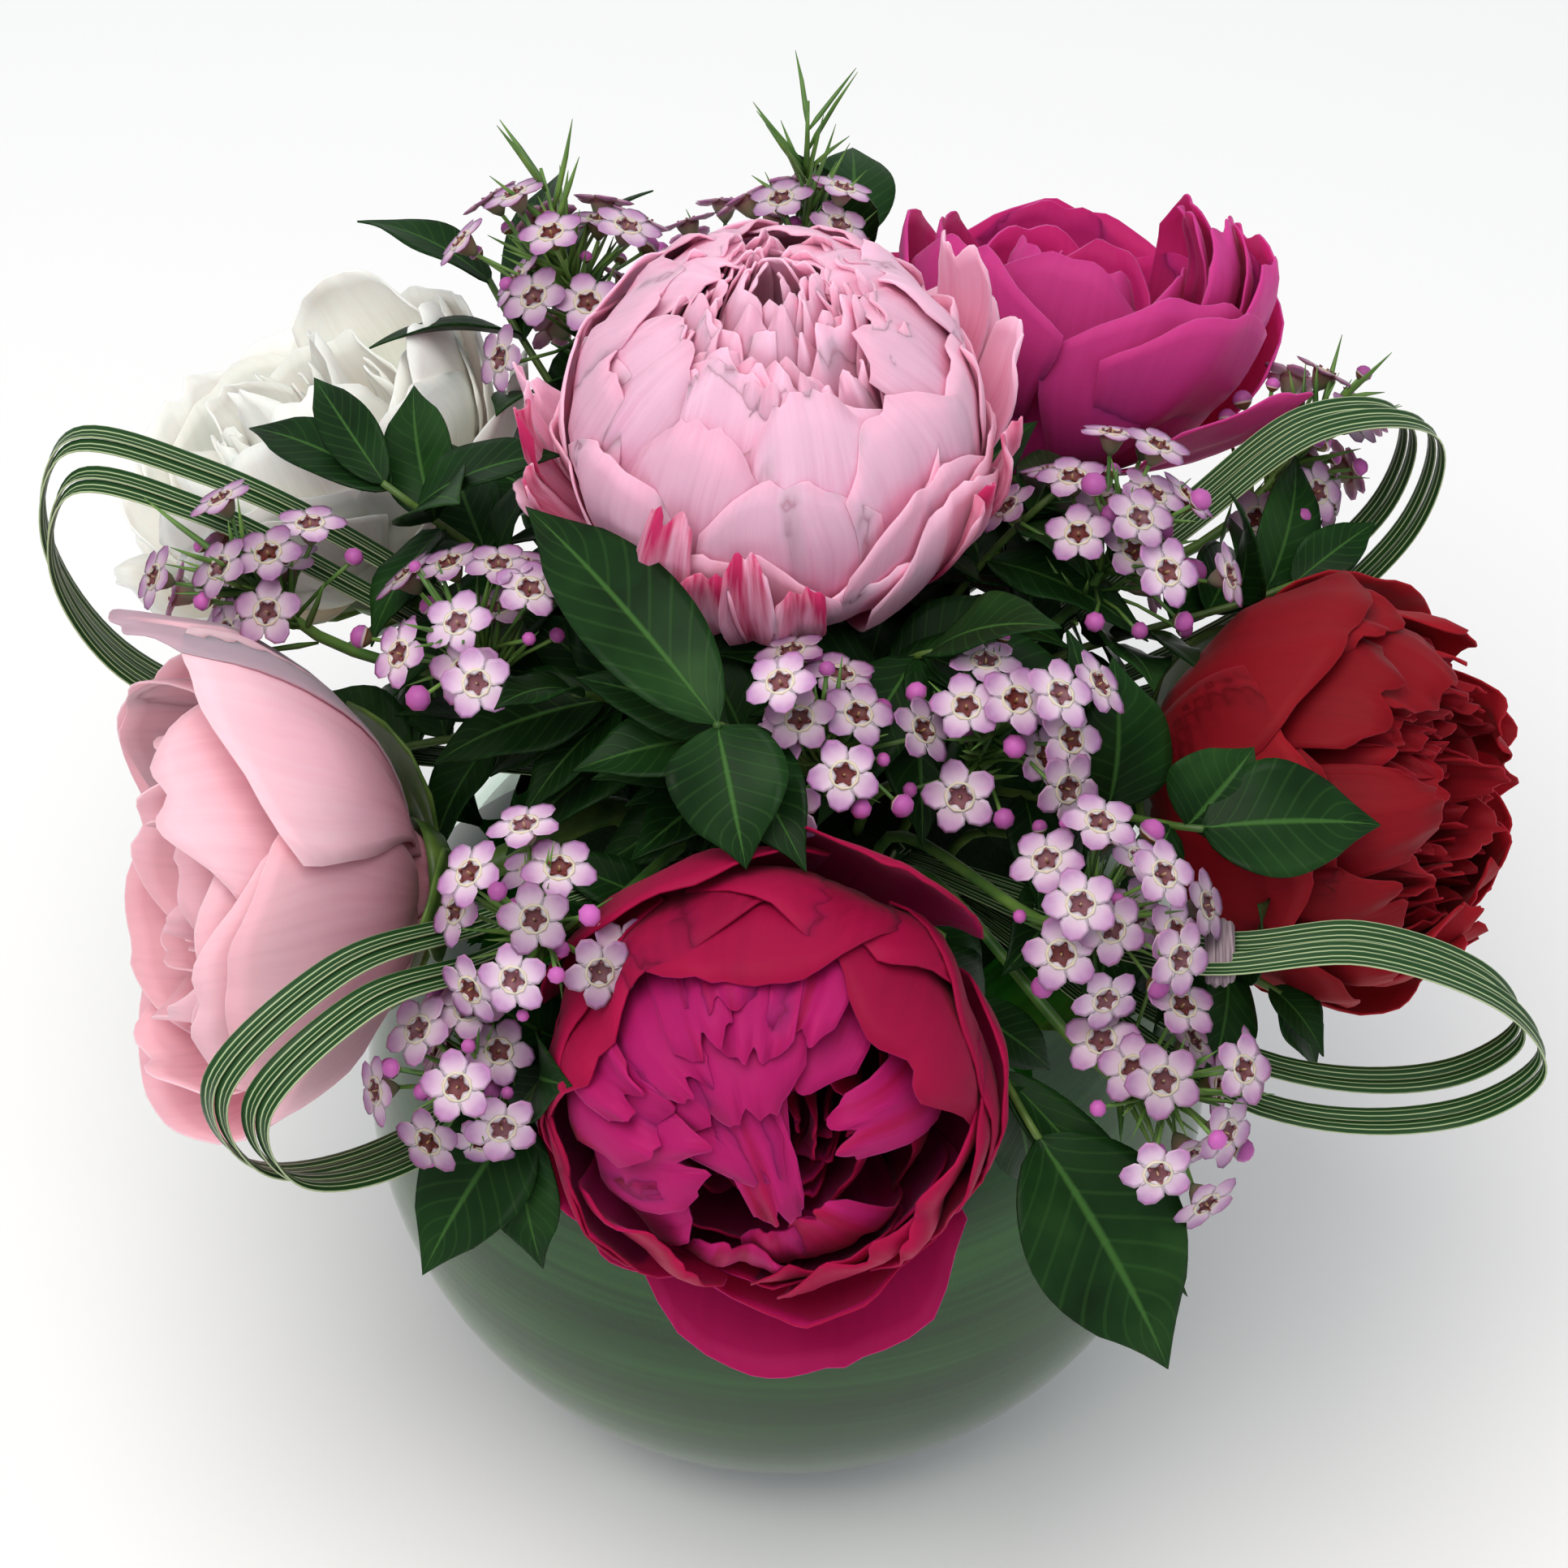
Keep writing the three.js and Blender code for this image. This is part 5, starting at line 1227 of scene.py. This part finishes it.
# A stalk and a needle, both slightly bent and 16 mm long until they are stretched.
SLIP_LENGTH = 16
stalk_course = [Vector((1.1 * math.sin(math.pi * t), 0, SLIP_LENGTH * t)) for t in (0, 0.5, 1)]
stalk_template = stem_tube("stalk", stalk_course, [0.55, 0.42, 0.5], 5)
needle_course = [Vector((1.5 * t * t, 0, SLIP_LENGTH * t)) for t in (0, 0.22, 0.6, 1)]
needle_template = stem_tube("needle", needle_course, [0.35, 0.8, 0.6, 0.08], 4)
for template in (stalk_template, needle_template):
    template.data.materials.append(needle_green)


def stretched(template, root, end, turn=0.0):
    """A copy of a stalk or needle that runs from one place to another, turned about its length."""
    stretch = Matrix.Diagonal((1, 1, (end - root).length / SLIP_LENGTH, 1))
    along = flower_frame(root, (end - root).normalized())
    return copy_of(template, along @ Matrix.Rotation(turn, 4, "Z") @ stretch)


def waxflower_spray(spray, heads):
    """A twig with the flowers and needles of the source and the added ones. heads is where
    flowers and buds are so far, in this spray and the ones before it."""
    tree = corners_of(f"waxflower_{spray['name']}")
    hub = place_found(tree, spray["hub"], TWIG_RADIUS)
    axis = (hub - STEM_FOCUS).normalized()
    lowest = hub - axis * STALK_SPREAD
    route = stem_route(lowest, axis, 10) + [hub + axis * spray["tip"]]
    radii = [TWIG_RADIUS] * (len(route) - 2) + [1.1, 0.4]
    twig = stem_tube("twig", route, radii, 7)
    twig.data.materials.append(needle_green)
    parts = [twig]
    draw = seeded_draw(spray["seed"])
    own = seeded_draw(spray["seed"] + 400)

    def add_flower(root, head, face):
        open_flower = copy_of(head_template, flower_frame(head, face, 0.94 + 0.1 * own()))
        parts.append(toned(open_flower, own(), own()))
        parts.append(stretched(stalk_template, root, head - face * NECK_DEPTH))
        heads.append(head)

    for k in range(spray["flowers"]):
        tilt = math.radians(spray["cone"]) * math.sqrt((k + 0.6) / spray["flowers"])
        outward = tilted(axis, tilt, math.radians(k * GOLDEN_ANGLE) + 0.5 * draw())
        root = hub - axis * STALK_SPREAD * draw()
        head = root + outward * spray["reach"] * (0.82 + 0.36 * draw())
        face = (outward + axis * 0.5).normalized()
        if source_flower(tree, head, face):
            add_flower(root, head, face)
    for k in range(spray["needles"]):
        share = k / spray["needles"]
        root = hub + axis * (spray["tip"] * share - 12 * (1 - share))
        ahead = tilted(axis, math.radians(46 - 20 * share), math.radians(k * GOLDEN_ANGLE + 40))
        length = 18 + 6 * draw()
        if is_corner(tree, root + ahead * length):
            parts.append(stretched(needle_template, root, root + ahead * length, 6 * own()))

    for _ in range(HEAD_TRIES):
        outward = tilted(axis, math.radians(85 * own()), 2 * math.pi * own())
        root = hub - axis * 14 * own()
        head = root + outward * spray["reach"] * (0.55 + 0.55 * own())
        size = own()
        spacing = HEAD_SPACING + 3 * size
        if around_sprays(head) < HEAD_CLEARANCE or any((head - other).length < spacing for other in heads):
            continue
        face = (outward + axis * 0.4).normalized()
        if size > OPEN_FROM:
            add_flower(root, head, face)
            continue
        bud = copy_of(bud_template, flower_frame(head, face, 0.45 + 1.0 * size))
        parts.append(toned(bud, 0.1 * own(), own()))
        parts.append(stretched(stalk_template, root, head))
        heads.append(head)
    for _ in range(ADDED_NEEDLES):
        root = hub + axis * (spray["tip"] * 0.9 * own() - 24 * own())
        ahead = tilted(axis, math.radians(25 + 35 * own()), 2 * math.pi * own())
        along = ahead * (12 + 9 * own())
        tip_clear = around_sprays(root + along) > NEEDLE_TIP_CLEARANCE
        if tip_clear and around_sprays(root + along * 0.6) > NEEDLE_CLEARANCE:
            parts.append(stretched(needle_template, root, root + along, 6 * own()))
    piece = joined(f"spray_{spray['name']}", parts)
    piece.data.shade_smooth()
    return piece


flower_heads = []
for spray in SPRAYS:
    ride_as(waxflower_spray(spray, flower_heads), "waxflower", f"waxflower_{spray['name']}")
for template in (head_template, bud_template, stalk_template, needle_template):
    bpy.data.objects.remove(template)


# ---- The lily-grass loops --------------------------------------------------------------------
# Four loops of variegated lily grass. Each of the source's two bands is a pair of narrow blades
# that lie side by side, dark green with cream lines along them.

BLADE_HALF_WIDTH = 2.052
BAND_SPACING = 8.4
BAND_INSET = 0.12
BLADE_THICKNESS = 0.35
TIE_RADIUS = 2.4
TIE_STANDS_OUT = 4

# How far each of a band's two blades lies across it and above it.
BLADE_PLACES = [(-1.85, 0.45), (1.85, -0.3)]

# The heights that a loop's two ends head for as they leave the foam.
END_HEIGHTS = (215, 160)

# The way each loop leans out of the flowers, and the places that it passes through.
GRASS_LOOPS = [
    dict(name="front_left", outward=(-0.75, -0.66),
         via=[(-60, -78, 212), (-86, -108, 230), (-108, -128, 219), (-103, -124, 190), (-76, -100, 171)]),
    dict(name="front_right", outward=(1, -0.05),
         via=[(82, -84, 214), (116, -86, 219), (147, -87, 204), (155, -88, 188), (140, -88, 173),
              (100, -85, 172)]),
    dict(name="back_left", outward=(-1, 0.12),
         via=[(-86, 14, 226), (-126, 18, 250), (-154, 21, 256), (-163, 22, 230), (-150, 21, 195),
              (-112, 16, 176)]),
    dict(name="back_right", outward=(1, 0.3),
         via=[(86, 34, 226), (116, 44, 247), (141, 52, 240), (139, 52, 212), (108, 42, 184)]),
]


def point_through(points, share):
    """A point of the smooth curve through the given ones, which is the source's curve too."""
    reach = min(share, 0.9999) * (len(points) - 1)
    k = math.floor(reach)
    before = points[k - 1] if k > 0 else points[0] * 2 - points[1]
    after = points[k + 2] if k + 2 < len(points) else points[-1] * 2 - points[-2]
    ends = (before, points[k], points[k + 1], after)
    gaps = [max((ends[i + 1] - ends[i]).length ** 0.5, 1e-4) for i in range(3)]
    slopes = []
    for i in (0, 1):
        first, second = ends[i + 1] - ends[i], ends[i + 2] - ends[i + 1]
        slope = first / gaps[i] - (first + second) / (gaps[i] + gaps[i + 1]) + second / gaps[i + 1]
        slopes.append(slope * gaps[1])
    t = reach - k
    start, end = ends[1], ends[2]
    return (start + slopes[0] * t + (end * 3 - start * 3 - slopes[0] * 2 - slopes[1]) * t ** 2
            + (start * 2 - end * 2 + slopes[0] + slopes[1]) * t ** 3)


def grass_blade(points, axis, shift, raised):
    """One narrow blade along a loop, shifted across its band and raised a little from it."""
    def place(across, along):
        middle = point_through(points, along)
        before = point_through(points, max(along - 0.01, 0))
        ahead = (point_through(points, min(along + 0.01, 1)) - before).normalized()
        side = (axis - ahead * axis.dot(ahead)).normalized()
        out = ahead.cross(side)
        fullness = 0.3 + 0.7 * math.sin(math.pi * min(max(along, 0), 1)) ** 0.5
        half = BLADE_HALF_WIDTH * fullness
        return (middle + side * (half * across + shift * fullness)
                + out * (raised * fullness + 0.5 * abs(across) * fullness))
    blade = shaped_sheet("blade", 8, 70, place)
    return finish_with(blade, "SOLIDIFY", thickness=BLADE_THICKNESS * MM, offset=0)


# Variegated lily grass, satin: dark green with thin cream lines at the margins and at thirds.
striped_blade, shader = new_material("variegated_grass_blade", {"Roughness": 0.4, "Specular IOR Level": 0.2})
blade_map = add_node(striped_blade, "UVMap")
on_blade = add_node(striped_blade, "SeparateXYZ", links={"Vector": (blade_map, "UV")})
blade_stretch = add_node(striped_blade, "Mapping", {"Scale": (9.0, 14.0, 1.0)}, {"Vector": (blade_map, "UV")})
blade_noise = add_node(striped_blade, "TexNoise", {"Scale": 1.0, "Detail": 2.0},
                       {"Vector": (blade_stretch, "Vector")})
uneven = add_node(striped_blade, "Math", {"operation": "MULTIPLY_ADD", 1: 0.03},
                  {0: (blade_noise, "Fac"), 2: (on_blade, "X")})
lines = add_node(striped_blade, "Math", {"operation": "MULTIPLY", 1: 3.0}, {0: (uneven, "Value")})
line_place = add_node(striped_blade, "Math", {"operation": "FRACT"}, {0: (lines, "Value")})
stripe_ramp = add_node(striped_blade, "ValToRGB", {"stops": [
    (0.0, linear("#c4cda6")), (0.07, linear("#9fb083")), (0.15, linear("#2c4f28")), (0.5, linear("#183a1a")),
    (0.88, linear("#2c4f28")), (0.97, linear("#b0bf94"))]}, {"Fac": (line_place, "Value")})
link(striped_blade, stripe_ramp, "Color", shader, "Base Color")
blade_bump = add_node(striped_blade, "Bump", {"Strength": 0.3, "Distance": 0.0002},
                      {"Height": (line_place, "Value")})
link(striped_blade, blade_bump, "Normal", shader, "Normal")


def loop_course(loop):
    """The axis that a loop turns about, the places it passes through and their middle."""
    axis = Vector((-loop["outward"][1], loop["outward"][0], 0)).normalized()
    via = [Vector(point) for point in loop["via"]]
    return axis, via, sum(via, Vector()) / len(via)


def grass_loop(loop):
    """The two bands of a loop, two blades each, and the two tied ends that stand in the foam."""
    axis, via, centre = loop_course(loop)
    feet = []
    for point, height in zip((via[0], via[-1]), END_HEIGHTS):
        feet.append(footing(Vector((point.x, point.y, height))))
    parts = []
    for entry, heading, end in feet:
        tie = [end, entry, entry + heading * TIE_STANDS_OUT]
        parts.append(stem_tube("tie", tie, [TIE_RADIUS, TIE_RADIUS, TIE_RADIUS - 0.2], 10))
    for b, side in enumerate((-0.5, 0.5)):
        starts = [entry + axis * 1.6 * side for entry, _, _ in feet]
        inset = 1 - BAND_INSET * b
        middles = [centre + (point - centre) * inset + axis * BAND_SPACING * side for point in via]
        points = [starts[0], *middles, starts[1]]
        for shift, raised in BLADE_PLACES:
            parts.append(grass_blade(points, axis, shift, raised))
    for part in parts:
        part.data.materials.append(striped_blade)
    piece = joined(f"grass_loop_{loop['name']}", parts)
    piece.data.shade_smooth()
    return piece


for loop in GRASS_LOOPS:
    ride_as(grass_loop(loop), "lily_grass", f"lily_grass_{loop['name']}")


# ---- The wrap on the front right loop --------------------------------------------------------
# A strip of dry, mauve-grey leaf is wound round the four blades where they leave the flowers.

WRAP_LENGTH = 6
WRAP_HALF_WIDTH = 8.4
WRAP_HALF_DEPTH = 3.4
WRAP_PLACE = 0.02
WRAP_THICKNESS = 0.4


def blade_wrap(loop):
    """An uneven oval sleeve round both of a loop's bands, where they come out of the flowers."""
    axis, via, centre = loop_course(loop)
    spots = [point_through(via, share) for share in (WRAP_PLACE - 0.01, WRAP_PLACE, WRAP_PLACE + 0.01)]
    middle = centre + (spots[1] - centre) * (1 - BAND_INSET / 2)
    ahead = (spots[2] - spots[0]).normalized()
    side = (axis - ahead * axis.dot(ahead)).normalized()
    out = ahead.cross(side)

    def place(across, along):
        turn = math.pi * across
        fullness = 1 + 0.05 * math.sin(21 * along + 2 * turn) - 0.25 * (2 * along - 1) ** 4
        return (middle + ahead * WRAP_LENGTH * (along - 0.5 + 0.05 * math.sin(turn))
                + side * WRAP_HALF_WIDTH * fullness * math.cos(turn)
                + out * WRAP_HALF_DEPTH * fullness * math.sin(turn))
    wrap = shaped_sheet("grass_wrap", 36, 16, place)
    bpy.ops.object.mode_set(mode="EDIT")
    bpy.ops.mesh.select_all(action="SELECT")
    bpy.ops.mesh.remove_doubles(threshold=0.01 * MM)
    bpy.ops.object.mode_set(mode="OBJECT")
    return finish_with(wrap, "SOLIDIFY", thickness=WRAP_THICKNESS * MM, offset=0)


# Dry leaf strip: matt, mauve-grey, with fibres along it 0.5 mm apart.
dry_leaf, shader = new_material("dry_leaf_strip", {"Roughness": 0.8, "Specular IOR Level": 0.2})
wrap_map = add_node(dry_leaf, "UVMap")
fibre_map = add_node(dry_leaf, "Mapping", {"Scale": (4.0, 14.0, 1.0)}, {"Vector": (wrap_map, "UV")})
fibres = add_node(dry_leaf, "TexNoise", {"Scale": 1.0, "Detail": 2.0}, {"Vector": (fibre_map, "Vector")})
fibre_ramp = add_node(dry_leaf, "ValToRGB", {"stops": [
    (0.35, linear("#6f5f68")), (0.65, linear("#a5939a"))]}, {"Fac": (fibres, "Fac")})
link(dry_leaf, fibre_ramp, "Color", shader, "Base Color")
fibre_bump = add_node(dry_leaf, "Bump", {"Strength": 0.4, "Distance": 0.0003}, {"Height": (fibres, "Fac")})
link(dry_leaf, fibre_bump, "Normal", shader, "Normal")

wrap = blade_wrap(GRASS_LOOPS[1])
wrap.data.materials.append(dry_leaf)
wrap.data.shade_smooth()
ride_as(wrap, "lily_grass")
